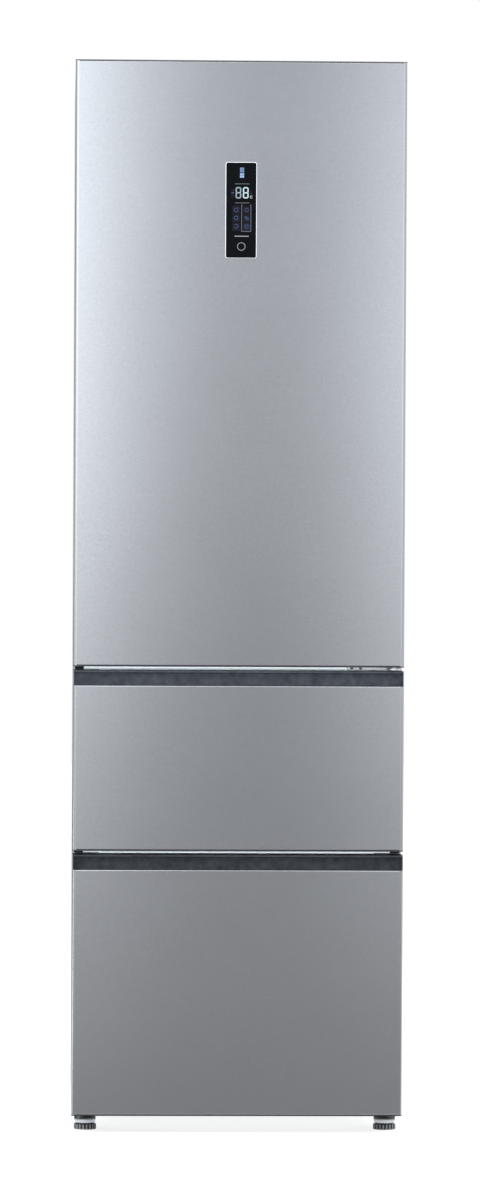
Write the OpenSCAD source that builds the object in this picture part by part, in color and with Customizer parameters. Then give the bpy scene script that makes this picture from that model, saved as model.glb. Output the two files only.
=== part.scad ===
/* [Fronts] */
// Width of the cabinet and of its three fronts
body_w = 595; // [560:1:640]
// Depth from the display glass to the rear spacers
body_d = 657; // [635:1:700]
// Height of the lower drawer front
lower_front_h = 469; // [440:1:520]
// Height of the middle drawer front
middle_front_h = 324; // [300:1:380]
// Height of the upper door
upper_front_h = 1087; // [1040:1:1200]
// Gap between neighbouring fronts
front_gap = 7; // [6:0.5:9]
// Thickness of a front without its seal
front_t = 58; // [56:1:64]
// Radius of the bent vertical edges of a front
front_r = 6; // [4:0.5:8]
// Thickness of the sheet steel
sheet_t = 1; // [0.8:0.1:1.4]
// Height of the cap edge seen above or below the sheet
cap_edge = 2; // [1.5:0.5:4]
// Radius of the bent upper and lower edges of the sheet
hem_r = 2; // [1.5:0.5:3]

/* [Recessed grips] */
// Height of the open dark strip on top of a drawer front
grip_open = 27; // [24:1:32]
// Depth of the finger channel behind the sheet
grip_depth = 24; // [20:1:27]
// How far the channel reaches down behind the sheet
grip_drop = 20; // [14:1:24]

/* [Cabinet] */
// Floor to the underside of the cabinet
foot_h = 34; // [32:1:40]
// Thickness of the insulated side walls
side_wall = 50; // [46:1:56]
// Thickness of the insulated top
top_wall = 55; // [45:1:70]
// Thickness of the insulated back
back_wall = 60; // [50:1:70]
// Thickness of the insulated floor
bottom_wall = 60; // [50:1:70]
// Height of each cross rail between two compartments
rail_h = 58; // [56:1:66]
// Wall of the moulded liners
liner_t = 2; // [1.6:0.2:3]
// Corner radius inside the liners
liner_r = 20; // [10:1:28]
// Radius of the bent top edges of the cabinet
wrap_r = 5; // [3:0.5:7]
// How far the door rises above the cabinet top
door_rise = 15; // [13:1:18]
// Depth of the rear spacers
spacer_d = 9.5; // [6:0.5:14]

/* [Seals] */
// Distance between the fronts and the cabinet face
seal_gap = 14; // [13:0.5:16]
// Width of the magnetic head of a seal
seal_w = 18; // [16:0.5:20]
// Seal to the side edge of a front
seal_side = 18.5; // [18:0.5:22]
// Seal to the edge of a front beside a cross rail
seal_edge = 6; // [5:0.5:8]

/* [Hinges] */
// Hinge pin to the side of the door
pin_side = 16.5; // [15:0.5:18]
// Hinge pin behind the front face
pin_back = 28.5; // [27:0.5:30]
// Diameter of the hinge pins
pin_d = 8; // [6:0.5:9]
// Thickness of the hinge plates
hinge_t = 3; // [2.5:0.5:3.5]
// Half width of a hinge arm round its pin
arm_r = 12; // [10:0.5:13]

/* [Upper compartment] */
// Number of glass shelves, the crisper cover included
shelf_count = 4; // [2:1:5]
// Thickness of the shelf glass
glass_t = 4; // [3:0.5:6]
// Height of the crisper
crisper_h = 188; // [150:1:210]
// Wall of the crisper and of the door shelves
tub_t = 3; // [2:0.5:4]
// Depth of the door shelves
rack_d = 100; // [80:1:105]
// Width of the rear air duct
duct_w = 220; // [160:1:300]

/* [Drawers] */
// Depth of the space for fan and evaporator behind the slides
cold_d = 108; // [104:1:130]
// Height of the outer slide profile
slide_h = 36; // [32:1:44]
// Headroom above the rim of the middle bin
middle_headroom = 61; // [50:1:100]
// Upper rim of the lower bin above its compartment floor
lower_rim = 272; // [262:1:290]
// Wall of the bins
bin_t = 3; // [2:0.5:4]
// Height of the sliding tray above the lower bin
tray_h = 60; // [40:1:80]
// Depth of the sliding tray
tray_d = 160; // [120:1:180]

/* [Display] */
// Width of the glass display on the door
display_w = 54; // [40:1:80]
// Height of the glass display on the door
display_h = 170; // [120:1:220]
// Top of the display below the top of the door
display_drop = 183; // [120:1:300]
// How far the display glass stands proud
display_t = 0.8; // [0.5:0.1:1.5]

/* [Machine space] */
// Height of the machine space at the rear
recess_h = 200; // [180:1:230]
// Depth of the machine space at the rear
recess_d = 205; // [190:1:230]
// Diameter of the compressor
compressor_d = 150; // [120:1:160]
// Diameter of the cord gland's hole
gland_d = 10; // [8:0.5:14]
// Diameter of the circulating fan
fan_d = 96; // [80:1:110]

/* [Feet and rollers] */
// Diameter of the ribbed foot disc
foot_d = 41; // [36:1:46]
// Height of the ribbed foot disc
foot_disc_h = 9.5; // [6:0.5:12]
// Diameter of the bright cup over the foot disc
cup_d = 40; // [34:1:44]
// Diameter of the foot's threaded stem
stem_d = 10; // [8:0.5:12]
// Diameter of the rear rollers
roller_d = 32; // [26:1:36]
// Width of the rear rollers
roller_w = 14; // [10:1:20]

/* [Hidden] */
$fn = 64;
// Radial play of a pin in its bore
pin_play = 0.05;
// Play between pieces that slide past each other
slide_play = 0.5;
// Play under a piece that rests on another body
rest_play = 0.4;
// Overlap that cuts run past a face
eps = 1;
half_w = body_w / 2;
inside_w = half_w - sheet_t;
// Flat return of a bent edge, and the half width along which it runs
hem_l = 2;
hem_play = 0.2;
hem_x = half_w - front_r - 1;
hem_lap = 0.5;
// Depths, from the front face to the back
front_y = -body_d / 2 + display_t;
door_back_y = front_y + front_t;
cab_y = door_back_y + seal_gap;
back_y = body_d / 2 - spacer_d;
cavity_back_y = back_y - back_wall;
// Heights, from the floor up
low_z = foot_h;
mid_z = low_z + lower_front_h + front_gap;
up_z = mid_z + middle_front_h + front_gap;
top_z = up_z + upper_front_h;
cab_top = top_z - door_rise;
// Middle height of the two gaps between the fronts
gap2_z = mid_z - front_gap / 2;
gap1_z = up_z - front_gap / 2;
// Inner faces of the three compartments
cav_x = half_w - side_wall;
freezer_z0 = low_z + bottom_wall;
freezer_z1 = gap2_z - rail_h / 2;
zone_z0 = gap2_z + rail_h / 2;
zone_z1 = gap1_z - rail_h / 2;
fridge_z0 = gap1_z + rail_h / 2;
fridge_z1 = cab_top - top_wall;
// Sloping front wall of the machine space
recess_y = back_y - recess_d;
recess_lean = 40;
recess_z = low_z + recess_h;
step_y = recess_y - back_wall;
step_z = recess_z + bottom_wall;
// Hinge axis
pin_x = half_w - pin_side;
pin_y = front_y + pin_back;
pin_r = pin_d / 2;
// Height of the moulded plugs inside the door caps
pin_reach = 17;
hinge_pocket_z = cab_top - 4;
top_plug_z = hinge_pocket_z - pin_reach - 4;
bottom_plug_h = 16;
// The arm swings out of its pocket as the door opens to this angle
door_open = 110;
pocket_play = 0.7;
pocket_y = pin_y + (pin_side * cos(door_open) - arm_r) / sin(door_open) - pocket_play;
// Grip moulding
grip_plug_h = grip_open + grip_drop + 15;
grip_edge = 3;
grip_end = 2;
grip_side = 6;
// Seal position of each front
seal_x = half_w - seal_side;
seal_top_drop = door_rise + 12;
seal_low_rise = 30;
// Raised border of the door liner and what it carries
dyke_x = cav_x - 15.5;
dyke_t = 14;
dyke_d = 45;
dyke_z0 = fridge_z0 + 13.5;
dyke_z1 = fridge_z1 - 13;
rack_x = dyke_x - dyke_t;
rack_y = door_back_y + rack_d;
rack_r = 18;
rack_h = [116, 92, 92, 76];
rack_pitch = (dyke_z1 - dyke_z0 - dyke_t) / len(rack_h);
function rack_z(i) = dyke_z0 + dyke_t + rack_gap + i * rack_pitch;
// Shelves
shelf_y0 = rack_y + 12;
shelf_z0 = fridge_z0 + crisper_h + 27;
shelf_pitch = (fridge_z1 - shelf_z0) / shelf_count;
duct_t = 22;
duct_z0 = shelf_z0 + 30;
lamp_y = shelf_y0 + 48;
shelf_y1 = cavity_back_y - duct_t - 8;
shelf_x = cav_x - 2.5;
trim_h = 14;
trim_d = 12;
shelf_rib = 8;
// Crisper
crisper_x = cav_x - liner_r - 0.5;
crisper_z0 = fridge_z0 + rest_play;
crisper_y0 = shelf_y0 + 8;
crisper_y1 = shelf_y1 - 6;
// Slides, measured inwards from the liner wall
outer_web = 1.5;
outer_lip = 9;
mid_in = outer_web + slide_play;
inner_in = mid_in + outer_web + slide_play;
inner_out = outer_lip + 1;
inner_h = slide_h / 2 - 2 * outer_web - 2 * slide_play;
arm_t = 2;
arm_foot = 26;
bar_in = 10;
bar_h = 20;
arm_top = slide_h / 2 + 4;
slide_y0 = cab_y + 6.5;
slide_y1 = cavity_back_y - cold_d;
inner_y1 = slide_y1 - 20;
zone_rim_z = zone_z1 - middle_headroom;
freezer_rim_z = freezer_z0 + lower_rim;
zone_slide_z = zone_rim_z - arm_top - bin_t;
freezer_slide_z = freezer_rim_z - arm_top - bin_t;
bin_x = cav_x - inner_out - arm_t - 5.5;
bin_y0 = door_back_y + 8;
zone_bin_y1 = inner_y1 - 14;
freezer_bin_y1 = step_y - 16;
bin_floor_gap = 7;
bin_r = 18;
bin_dip = 30;
tray_x = cav_x - inner_out - 3;
tray_y0 = bin_y0 + 4;
tray_z0 = freezer_rim_z + rest_play;
// Radius of the lower edges of the bins, boxes and door shelves
tub_edge_r = 9;
crisper_r = 16;
tray_r = 10;
// Cold air parts behind the lower bin
air_wall_y = slide_y1 + 8;
air_wall_t = 3;
fan_z = (step_z + freezer_z1) / 2 + 6;
fan_y = air_wall_y + air_wall_t + 4;
fan_hub_r = 17;
fan_hub_h = 18;
blade_count = 5;
blade_pitch = 32;
blade_w = 26;
blade_t = 2;
motor_r = 19;
motor_shaft_r = 2;
motor_arm = 6;
motor_beam = 5;
motor_h = 16;
motor_back_y = fan_y + fan_hub_h + motor_h + 3;
motor_arm_x = fan_d / 2 + 12;
evap_y = motor_back_y + 4;
evap_x = 190;
evap_rise = 10;
evap_h = freezer_z1 - step_z - 2 * evap_rise - 12;
fin_count = 20;
fin_t = 1.5;
tube_r = 4;
tube_rows = 4;
// Slots of the air walls and of the duct
slot_x0 = 96;
slot_x1 = 210;
slot_h = 8;
slot_pitch = 32;
grille_bar = 3;
grille_pitch = 10;
duct_wall = 3;
duct_slot_h = 5;
duct_slot_pitch = 12;
duct_drop = 30;
// Feet and rollers
foot_x = half_w - foot_d / 2 - 5;
foot_y = cab_y + foot_d / 2 + 4;
bracket_t = 4;
cup_z = foot_disc_h + rest_play;
cup_h = low_z - bracket_t - cup_z;
cup_arc_r = 18;
roller_in = 60;
roller_x = half_w - roller_in;
roller_y = back_y - 48;
axle_r = 3;
ear_r = 9;
foot_ribs = 20;
foot_rim = 1.5;
notch_r = 2;
// Machine space
tray_t = 2;
compressor_x = 120;
compressor_y = back_y - compressor_d / 2 - 8;
compressor_h = 120;
dome_r = 100;
mount_z = low_z + tray_t + 18;
pan_h = 26;
pan_x = 110;
pan_y0 = 13 - compressor_d / 2;
pan_y1 = compressor_d / 2 - 5;
pan_r = 12;
foot_pad_r = 12;
foot_pad_x = compressor_d / 2 + 2;
foot_pad_y = 32;
mount_plate_x = compressor_d / 2 + 16;
mount_plate_y = 46;
mount_plate_t = 4;
// Condenser of two banks of pipe with fins, beside the compressor, and its drier
pipe_r = 3;
pipe_rows = 6;
row_pitch = 18;
bank_pitch = 30;
condenser_in = 70;
condenser_x0 = -half_w + condenser_in;
condenser_x1 = -48;
condenser_z = mount_z + 12;
plate_margin = 9;
plate_count = 12;
plate_t = 1;
plate_pitch = (condenser_x1 - condenser_x0 - 2 * plate_margin) / (plate_count - 1);
// Where the feed pipe meets the round side of the compressor
feed_x = compressor_x - sqrt(pow(compressor_d / 2, 2) - pow(bank_pitch / 2 - pipe_r, 2)) - 0.3;
drier_r = 8;
drier_l = 50;
flange_w = 8;
flange_t = 4;
louvre_rows = 9;
louvre_pitch = 16;
louvre_h = 6;
louvre_w = 56;
louvre_step = 72;
louvre_x = 60;
louvre_rise = 40;
gland_x = 0;
gland_z = low_z + 46;
gland_flange = 3;
gland_len = 14;
spacer_x = 190;
spacer_w = 64;
spacer_h = 90;
spacer_rise = 120;
spacer_drop = 260;
// Cross rails between the compartments
bead_h = front_gap - 1;
bead_d = 0.8;
end_block_in = 11.5;
end_block_w = 16;
end_block_h = front_gap - 1;
end_block_d = seal_gap - 2;
// Hinge plates
hinge_foot_w = 60;
hinge_foot_d = 55;
hinge_flange_w = 83;
hinge_flange_h = 16;
rail_bead_x = pin_x - hinge_flange_w - 2;
cover_h = door_rise - 4;
cover_t = 2;
screw_r = 3;
flange_screw_r = 2.5;
flange_screws = [9, 25];
// Display
display_r = 3;
glass_seat = 2;
// Handles moulded into the front walls of crisper and bins
dip_h = 26;
dip_x = 70;
lip_r = 7;
lug_w = 6;
lug_h = 8;
lug_d = 36;
// Raised panel on the inner side of a drawer front
panel_in = 92;
panel_rise = 90;
panel_drop = 24;
panel_h = 4;
dyke_r = 16;
rack_gap = 6;
rack_draft = 2;
rack_back_h = 30;
display_z1 = top_z - display_drop;
display_z0 = display_z1 - display_h;
// Height of the underside of a shelf's glass
function shelf_z(i) = shelf_z0 + i * shelf_pitch;

// Rectangle from corner to corner
module rect2(x0, y0, x1, y1) {
    translate([x0, y0]) square([x1 - x0, y1 - y0]);
}

// Rectangle with four round corners
module round_rect2(x0, y0, x1, y1, r) {
    rect2(x0 + r, y0, x1 - r, y1);
    rect2(x0, y0 + r, x1, y1 - r);
    for (x = [x0 + r, x1 - r], y = [y0 + r, y1 - r])
        translate([x, y]) circle(r);
}

// Plan of a front: round corners towards the user, square ones behind
module front_plan(half, y0, y1, r) {
    rect2(-half + r, y0, half - r, y1);
    rect2(-half, y0 + r, half, y1);
    for (s = [-1, 1])
        translate([s * (half - r), y0 + r]) circle(r);
}

// Elevation of the cabinet: two round corners on top
module arch2(half, z0, z1, r) {
    rect2(-half + r, z0, half - r, z1);
    rect2(-half, z0, half, z1 - r);
    for (s = [-1, 1])
        translate([s * (half - r), z1 - r]) circle(r);
}

// Box from corner to corner
module block(x0, y0, z0, x1, y1, z1) {
    translate([x0, y0, z0]) cube([x1 - x0, y1 - y0, z1 - z0]);
}

// A shape drawn in width and height, run from depth y0 to y1
module along_depth(y0, y1) {
    translate([0, y1, 0]) rotate([90, 0, 0]) linear_extrude(y1 - y0) children();
}

// A shape drawn in depth and height, run across from x0 to x1
module across(x0, x1) {
    translate([x0, 0, 0]) rotate([90, 0, 90]) linear_extrude(x1 - x0) children();
}

// A plan run up from z0 to z1
module upright(z0, z1) {
    translate([0, 0, z0]) linear_extrude(z1 - z0) children();
}

// The same piece on the right and mirrored on the left
module both_sides() {
    children();
    mirror([1, 0, 0]) children();
}

// Machine space at the rear, as a profile in depth and height, grown by a wall
module machine_profile(wall) {
    polygon([
        [recess_y - wall, low_z - 5],
        [recess_y + recess_lean - wall, recess_z + wall],
        [back_y + 5, recess_z + wall],
        [back_y + 5, low_z - 5]
    ]);
}

// Cabinet

module cabinet_wrap() color("#c8cacb") {
    difference() {
        along_depth(cab_y, back_y) arch2(half_w, low_z, cab_top, wrap_r);
        along_depth(cab_y + sheet_t, back_y + eps)
            arch2(half_w - sheet_t, low_z - eps, cab_top - sheet_t, wrap_r - sheet_t);
        block(-cav_x - liner_t, cab_y - eps, freezer_z0 - liner_t,
              cav_x + liner_t, cab_y + 2 * sheet_t, fridge_z1 + liner_t);
    }
}

module insulation() color("#e9dfae") difference() {
    along_depth(cab_y + sheet_t, back_y - sheet_t)
        arch2(half_w - sheet_t, low_z + sheet_t, cab_top - sheet_t, wrap_r);
    compartment_block(fridge_z0, fridge_z1);
    compartment_block(zone_z0, zone_z1);
    across(-cav_x - liner_t, cav_x + liner_t) freezer_profile(liner_t, cab_y - eps);
    across(-half_w, half_w) machine_profile(sheet_t);
}

// Outer block of a plain compartment
module compartment_block(z0, z1) {
    block(-cav_x - liner_t, cab_y - eps, z0 - liner_t,
          cav_x + liner_t, cavity_back_y + liner_t, z1 + liner_t);
}

// Inner space of a compartment, with round corners along its depth
module compartment_space(z0, z1) {
    along_depth(cab_y - 2 * eps, cavity_back_y) round_rect2(-cav_x, z0, cav_x, z1, liner_r);
}

// Side profile of the lower compartment, which steps over the machine space
module freezer_profile(wall, front) {
    polygon([
        [front, freezer_z0 - wall],
        [step_y + wall, freezer_z0 - wall],
        [step_y + recess_lean + wall, step_z - wall],
        [cavity_back_y + wall, step_z - wall],
        [cavity_back_y + wall, freezer_z1 + wall],
        [front, freezer_z1 + wall]
    ]);
}

module base_plate() color("#b4b6b8") {
    block(-inside_w, cab_y + sheet_t, low_z, inside_w, recess_y, low_z + sheet_t);
    across(-inside_w, inside_w) intersection() {
        difference() {
            machine_profile(sheet_t);
            machine_profile(0);
        }
        rect2(0, low_z, back_y, recess_z + 2 * sheet_t);
    }
}

module back_panel() color("#c3c5c6")
    along_depth(back_y - sheet_t, back_y) arch2(inside_w, recess_z + sheet_t, cab_top - sheet_t, wrap_r);

module rear_spacers() color("#2d2e31") both_sides()
    for (z = [recess_z + spacer_rise, cab_top - spacer_drop])
        upright(z, z + spacer_h) polygon([
            [spacer_x - spacer_w / 2, back_y],
            [spacer_x + spacer_w / 2, back_y],
            [spacer_x + spacer_w / 2 - spacer_d, back_y + spacer_d],
            [spacer_x - spacer_w / 2 + spacer_d, back_y + spacer_d]
        ]);

module fridge_liner() color("#f3f4f4") {
    difference() {
        block(-cav_x - liner_t, cab_y, fridge_z0 - liner_t,
              cav_x + liner_t, cavity_back_y + liner_t, fridge_z1 + liner_t);
        compartment_space(fridge_z0, fridge_z1);
    }
    both_sides() for (i = [0 : shelf_count - 1])
        block(cav_x - shelf_rib, shelf_y0 + 2 * trim_d, shelf_z(i) - shelf_rib,
              cav_x + liner_t / 2, shelf_y1 - 2 * trim_d, shelf_z(i));
}

module zone_liner() color("#f3f4f4") difference() {
    block(-cav_x - liner_t, cab_y, zone_z0 - liner_t,
          cav_x + liner_t, cavity_back_y + liner_t, zone_z1 + liner_t);
    compartment_space(zone_z0, zone_z1);
}

module freezer_liner() color("#f3f4f4") difference() {
    across(-cav_x - liner_t, cav_x + liner_t) freezer_profile(liner_t, cab_y);
    intersection() {
        across(-cav_x, cav_x) freezer_profile(0, cab_y - eps);
        compartment_space(freezer_z0, freezer_z1);
    }
}

module cross_rails() color("#dfe7ea") for (z = [gap2_z, gap1_z]) {
    block(-cav_x - liner_t, cab_y, z - rail_h / 2 + liner_t,
          cav_x + liner_t, cab_y + sheet_t, z + rail_h / 2 - liner_t);
    across(-cav_x, rail_bead_x) polygon([
        [cab_y, z - bead_h / 2],
        [cab_y - bead_d, z - bead_h / 4],
        [cab_y - bead_d, z + bead_h / 4],
        [cab_y, z + bead_h / 2]
    ]);
}

module rail_end_blocks() color("#25262a") for (p = [[-1, gap1_z], [-1, gap2_z], [1, gap2_z]])
    translate([p[0] * (half_w - end_block_in), cab_y - end_block_d / 2, p[1]])
        cube([end_block_w, end_block_d, end_block_h], center = true);

// Flat hinge arm that ends round about its pin
module hinge_arm(side_in, y_end) {
    polygon([
        [pin_x - side_in, y_end],
        [pin_x + arm_r, y_end],
        [pin_x + arm_r, pin_y],
        [pin_x - arm_r, pin_y],
        [pin_x - arm_r, door_back_y + 4]
    ]);
    translate([pin_x, pin_y]) circle(arm_r);
}

module top_hinge() color("#c9cccf") {
    upright(cab_top, cab_top + hinge_t) difference() {
        hinge_arm(arm_r, cab_y + hinge_foot_d);
        for (y = [cab_y + 14, cab_y + hinge_foot_d - 10])
            translate([pin_x, y]) circle(screw_r);
    }
    upright(cab_top, cab_top + hinge_t) difference() {
        rect2(pin_x - hinge_foot_w, cab_y + 6, pin_x - arm_r, cab_y + hinge_foot_d);
        translate([pin_x - hinge_foot_w + 10, cab_y + hinge_foot_d / 2]) circle(screw_r);
    }
    translate([pin_x, pin_y, hinge_pocket_z - pin_reach])
        cylinder(r = pin_r, h = cab_top + hinge_t - hinge_pocket_z + pin_reach);
}

module hinge_cover() color("#e4e5e6") difference() {
    upright(cab_top, cab_top + cover_h) cover_plan(0);
    upright(cab_top - eps, cab_top + cover_h - cover_t) cover_plan(cover_t);
    block(pin_x - arm_r - 1, cab_y - eps, cab_top - eps,
          pin_x + arm_r + 1, cab_y + 10, cab_top + hinge_t + 1);
}

// Plan of the hinge cover, drawn in by a wall
module cover_plan(wall) {
    round_rect2(pin_x - hinge_foot_w - 4 + wall, cab_y + 2 + wall,
                pin_x + arm_r + 3 - wall, cab_y + hinge_foot_d + 4 - wall, 5 - wall);
}

module middle_hinge() color("#d2d5d8") {
    difference() {
        block(pin_x - hinge_flange_w, cab_y - hinge_t, gap1_z - hinge_flange_h / 2,
              pin_x + arm_r + 2, cab_y, gap1_z + hinge_flange_h / 2);
        for (x = flange_screws)
            translate([pin_x - hinge_flange_w + x, cab_y + eps, gap1_z]) rotate([90, 0, 0])
                cylinder(r = flange_screw_r, h = hinge_t + 2 * eps);
    }
    upright(gap1_z - hinge_t / 2, gap1_z + hinge_t / 2) hinge_arm(hinge_foot_w - 20, cab_y - hinge_t / 2);
    translate([pin_x, pin_y, gap1_z]) cylinder(r = pin_r, h = up_z + pin_reach - 2 - gap1_z);
}

module foot_brackets() color("#d5d8db") both_sides() difference() {
    union() {
        block(foot_x - foot_d / 2 - 14, foot_y - foot_d / 2 + 1, low_z - bracket_t,
              foot_x + foot_d / 2 + 3, foot_y + foot_d / 2 + 8, low_z);
        // Bright cup with barrel-shaped sides, under the plate
        translate([foot_x, foot_y, 0]) rotate_extrude() intersection() {
            rect2(0, cup_z, cup_d / 2, cup_z + cup_h);
            translate([cup_d / 2 - cup_arc_r, cup_z + cup_h / 2]) circle(cup_arc_r);
        }
    }
    translate([foot_x, foot_y, 0]) cylinder(r = stem_d / 2 + pin_play, h = low_z + eps);
}

module machine_tray() color("#8f9194") {
    block(-inside_w, recess_y + 2, low_z, inside_w, back_y - 4, low_z + tray_t);
    both_sides() {
        block(inside_w - tray_t, recess_y + recess_lean + 4, low_z, inside_w, back_y - 4, recess_z - 6);
        for (s = [-1, 1])
            roller_ear(roller_x + s * (roller_w / 2 + slide_play + tray_t / 2));
        translate([roller_x - roller_w / 2 - 4, roller_y, roller_d / 2]) rotate([0, 90, 0])
            cylinder(r = axle_r, h = roller_w + 8);
    }
}

// Ear that carries a roller axle under the machine tray, round below
module roller_ear(x) {
    across(x - tray_t / 2, x + tray_t / 2) {
        translate([roller_y, roller_d / 2]) circle(ear_r);
        rect2(roller_y - ear_r, roller_d / 2, roller_y + ear_r, low_z + eps);
    }
}

module compressor() color("#1f2022") translate([compressor_x, compressor_y, 0]) {
    intersection() {
        translate([0, 0, mount_z]) cylinder(d = compressor_d, h = compressor_h);
        translate([0, 0, mount_z + compressor_h - dome_r]) sphere(dome_r);
    }
    translate([0, 0, mount_z + compressor_h / 2]) cylinder(d = compressor_d + flange_w, h = flange_t);
    block(-mount_plate_x, -mount_plate_y, mount_z - mount_plate_t, mount_plate_x, mount_plate_y, mount_z);
    for (x = [-1, 1], y = [-1, 1])
        translate([x * foot_pad_x, y * foot_pad_y, low_z + tray_t])
            cylinder(r = foot_pad_r, h = mount_z - mount_plate_t - low_z - tray_t);
}

// Condenser: two serpentine banks of pipe in plates, the first fed by the compressor
module condenser() color("#1c1d1f") translate([0, compressor_y, condenser_z]) {
    for (y = [-bank_pitch / 2, bank_pitch / 2]) translate([0, y, 0]) {
        for (i = [0 : pipe_rows - 1])
            pipe(condenser_x0, condenser_x1, i * row_pitch, pipe_r);
        for (i = [0 : pipe_rows - 2])
            translate([i % 2 == 0 ? condenser_x0 : condenser_x1, 0, (i + 0.5) * row_pitch])
                rotate([90, 0, 0]) pipe_bend(i % 2 == 0 ? -1 : 1, row_pitch);
    }
    translate([condenser_x1, 0, (pipe_rows - 1) * row_pitch]) pipe_bend(1, bank_pitch);
    for (i = [0 : plate_count - 1])
        condenser_plate(i, i % (plate_count - 1) == 0 ? condenser_z - low_z - tray_t : plate_margin);
    // Feed from the compressor in front, drier behind
    translate([0, -bank_pitch / 2, 0]) pipe(condenser_x1, feed_x, 0, pipe_r);
    translate([0, bank_pitch / 2, 0]) {
        pipe(condenser_x1, condenser_x1 + plate_margin, 0, pipe_r);
        pipe(condenser_x1 + plate_margin, condenser_x1 + plate_margin + drier_l, 0, drier_r);
    }
}

// Straight pipe across, at height z
module pipe(x0, x1, z, r) {
    translate([x0, 0, z]) rotate([0, 90, 0]) cylinder(r = r, h = x1 - x0);
}

// Half ring of pipe that turns back over a given width, towards +X or -X
module pipe_bend(side, width) {
    intersection() {
        rotate_extrude() translate([width / 2, 0]) circle(pipe_r);
        translate([side > 0 ? 0 : -width, -width, -width / 2]) cube([width, 2 * width, width]);
    }
}

// Plate on the pipes that reaches down by a given drop
module condenser_plate(i, drop) {
    translate([condenser_x0 + plate_margin + i * plate_pitch, -bank_pitch / 2 - plate_margin, -drop])
        cube([plate_t, bank_pitch + 2 * plate_margin, (pipe_rows - 1) * row_pitch + plate_margin + drop]);
}

module drain_pan() color("#dcdddd") translate([compressor_x, compressor_y, mount_z + compressor_h + 0.3])
    difference() {
        upright(0, pan_h) pan_plan(0);
        upright(tray_t, pan_h + eps) pan_plan(tray_t);
    }

// Plan of the drain pan, drawn in by a wall
module pan_plan(wall) {
    round_rect2(-pan_x + wall, pan_y0 + wall, pan_x - wall, pan_y1 - wall, pan_r - wall);
}

module rear_cover() color("#9b9da0") difference() {
    block(-inside_w, back_y - sheet_t, low_z + tray_t, inside_w, back_y, recess_z);
    both_sides() for (i = [0 : louvre_rows - 1], j = [0 : 2])
        translate([louvre_x + j * louvre_step, 0, low_z + louvre_rise + i * louvre_pitch])
            block(0, back_y - sheet_t - eps, 0, louvre_w, back_y + eps, louvre_h);
    translate([gland_x, back_y + eps, gland_z]) rotate([90, 0, 0])
        cylinder(r = gland_d / 2 + 2.2, h = sheet_t + 2 * eps);
}

module cord_gland() color("#2a2b2e") translate([gland_x, back_y, gland_z]) rotate([90, 0, 0]) difference() {
    union() {
        translate([0, 0, -gland_flange]) cylinder(r = gland_d / 2 + 5, h = gland_flange);
        translate([0, 0, -gland_flange]) cylinder(r = gland_d / 2 + 2, h = gland_len);
        translate([0, 0, sheet_t]) cylinder(r = gland_d / 2 + 4, h = gland_flange);
    }
    translate([0, 0, -gland_flange - eps]) cylinder(r = gland_d / 2, h = gland_len + 2 * eps);
}

module duct_cover() color("#f0f1f2") difference() {
    block(-duct_w / 2, cavity_back_y - duct_t, duct_z0, duct_w / 2, cavity_back_y, fridge_z1 - duct_drop);
    block(-duct_w / 2 + duct_wall, cavity_back_y - duct_t + duct_wall, duct_z0 + duct_wall,
          duct_w / 2 - duct_wall, cavity_back_y + eps, fridge_z1 - duct_drop - duct_wall);
    both_sides() for (i = [0 : shelf_count - 1], j = [0 : 2])
        duct_slot(shelf_z(i) + shelf_pitch / 2 + j * duct_slot_pitch);
}

// Outlet slot beside the middle of the duct
module duct_slot(z) {
    block(duct_w / 9, cavity_back_y - duct_t - eps, z,
          duct_w / 2 - 14, cavity_back_y - duct_t + duct_wall + eps, z + duct_slot_h);
}

module lamp_cover() color("#fbfbf6") across(-60, 60) polygon([
    [lamp_y, fridge_z1],
    [lamp_y + 6, fridge_z1 - 9],
    [lamp_y + 64, fridge_z1 - 9],
    [lamp_y + 70, fridge_z1]
]);

module shelf_glass() color("#cfe4df") for (i = [0 : shelf_count - 1])
    block(-shelf_x, shelf_y0 + 4, shelf_z(i), shelf_x, shelf_y1 - 4, shelf_z(i) + glass_t);

module shelf_trims() color("#e8eaeb") for (i = [0 : shelf_count - 1]) difference() {
    for (y = [shelf_y0, shelf_y1 - trim_d])
        across(-shelf_x, shelf_x)
            trim_section(y, shelf_z(i) + glass_t / 2);
    block(-shelf_x - eps, shelf_y0 + 4, shelf_z(i), shelf_x + eps, shelf_y1 - 4, shelf_z(i) + glass_t);
}

// Section of a shelf trim round the glass
module trim_section(y, z) {
    round_rect2(y, z - trim_h / 2, y + trim_d, z + trim_h / 2, 3);
}

// Inner rear walls of the two lower compartments, which hide the evaporator and its fan
module air_wall() color("#eceded") {
    difference() {
        along_depth(air_wall_y, air_wall_y + air_wall_t) arch2(cav_x, step_z, freezer_z1, liner_r + 1);
        along_depth(air_wall_y - eps, air_wall_y + air_wall_t + eps) fan_grille();
        air_slots(step_z + fan_hub_h + slot_h, 4);
    }
    difference() {
        along_depth(air_wall_y, air_wall_y + air_wall_t)
            round_rect2(-cav_x, zone_z0, cav_x, zone_z1, liner_r + 1);
        air_slots((zone_z0 + zone_z1 - 3 * slot_pitch) / 2, 3);
    }
}

// Upright bars of the fan's opening
module fan_grille() {
    intersection() {
        translate([0, fan_z]) circle(fan_d / 2 + 2);
        for (i = [-5 : 5])
            rect2((i - 0.5) * grille_pitch + grille_bar / 2, fan_z - fan_d,
                  (i + 0.5) * grille_pitch - grille_bar / 2, fan_z + fan_d);
    }
}

// Rows of level slots on both sides of an air wall
module air_slots(z0, rows) {
    both_sides() for (i = [0 : rows - 1])
        block(slot_x0, air_wall_y - eps, z0 + i * slot_pitch,
              slot_x1, air_wall_y + air_wall_t + eps, z0 + i * slot_pitch + slot_h);
}

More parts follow.
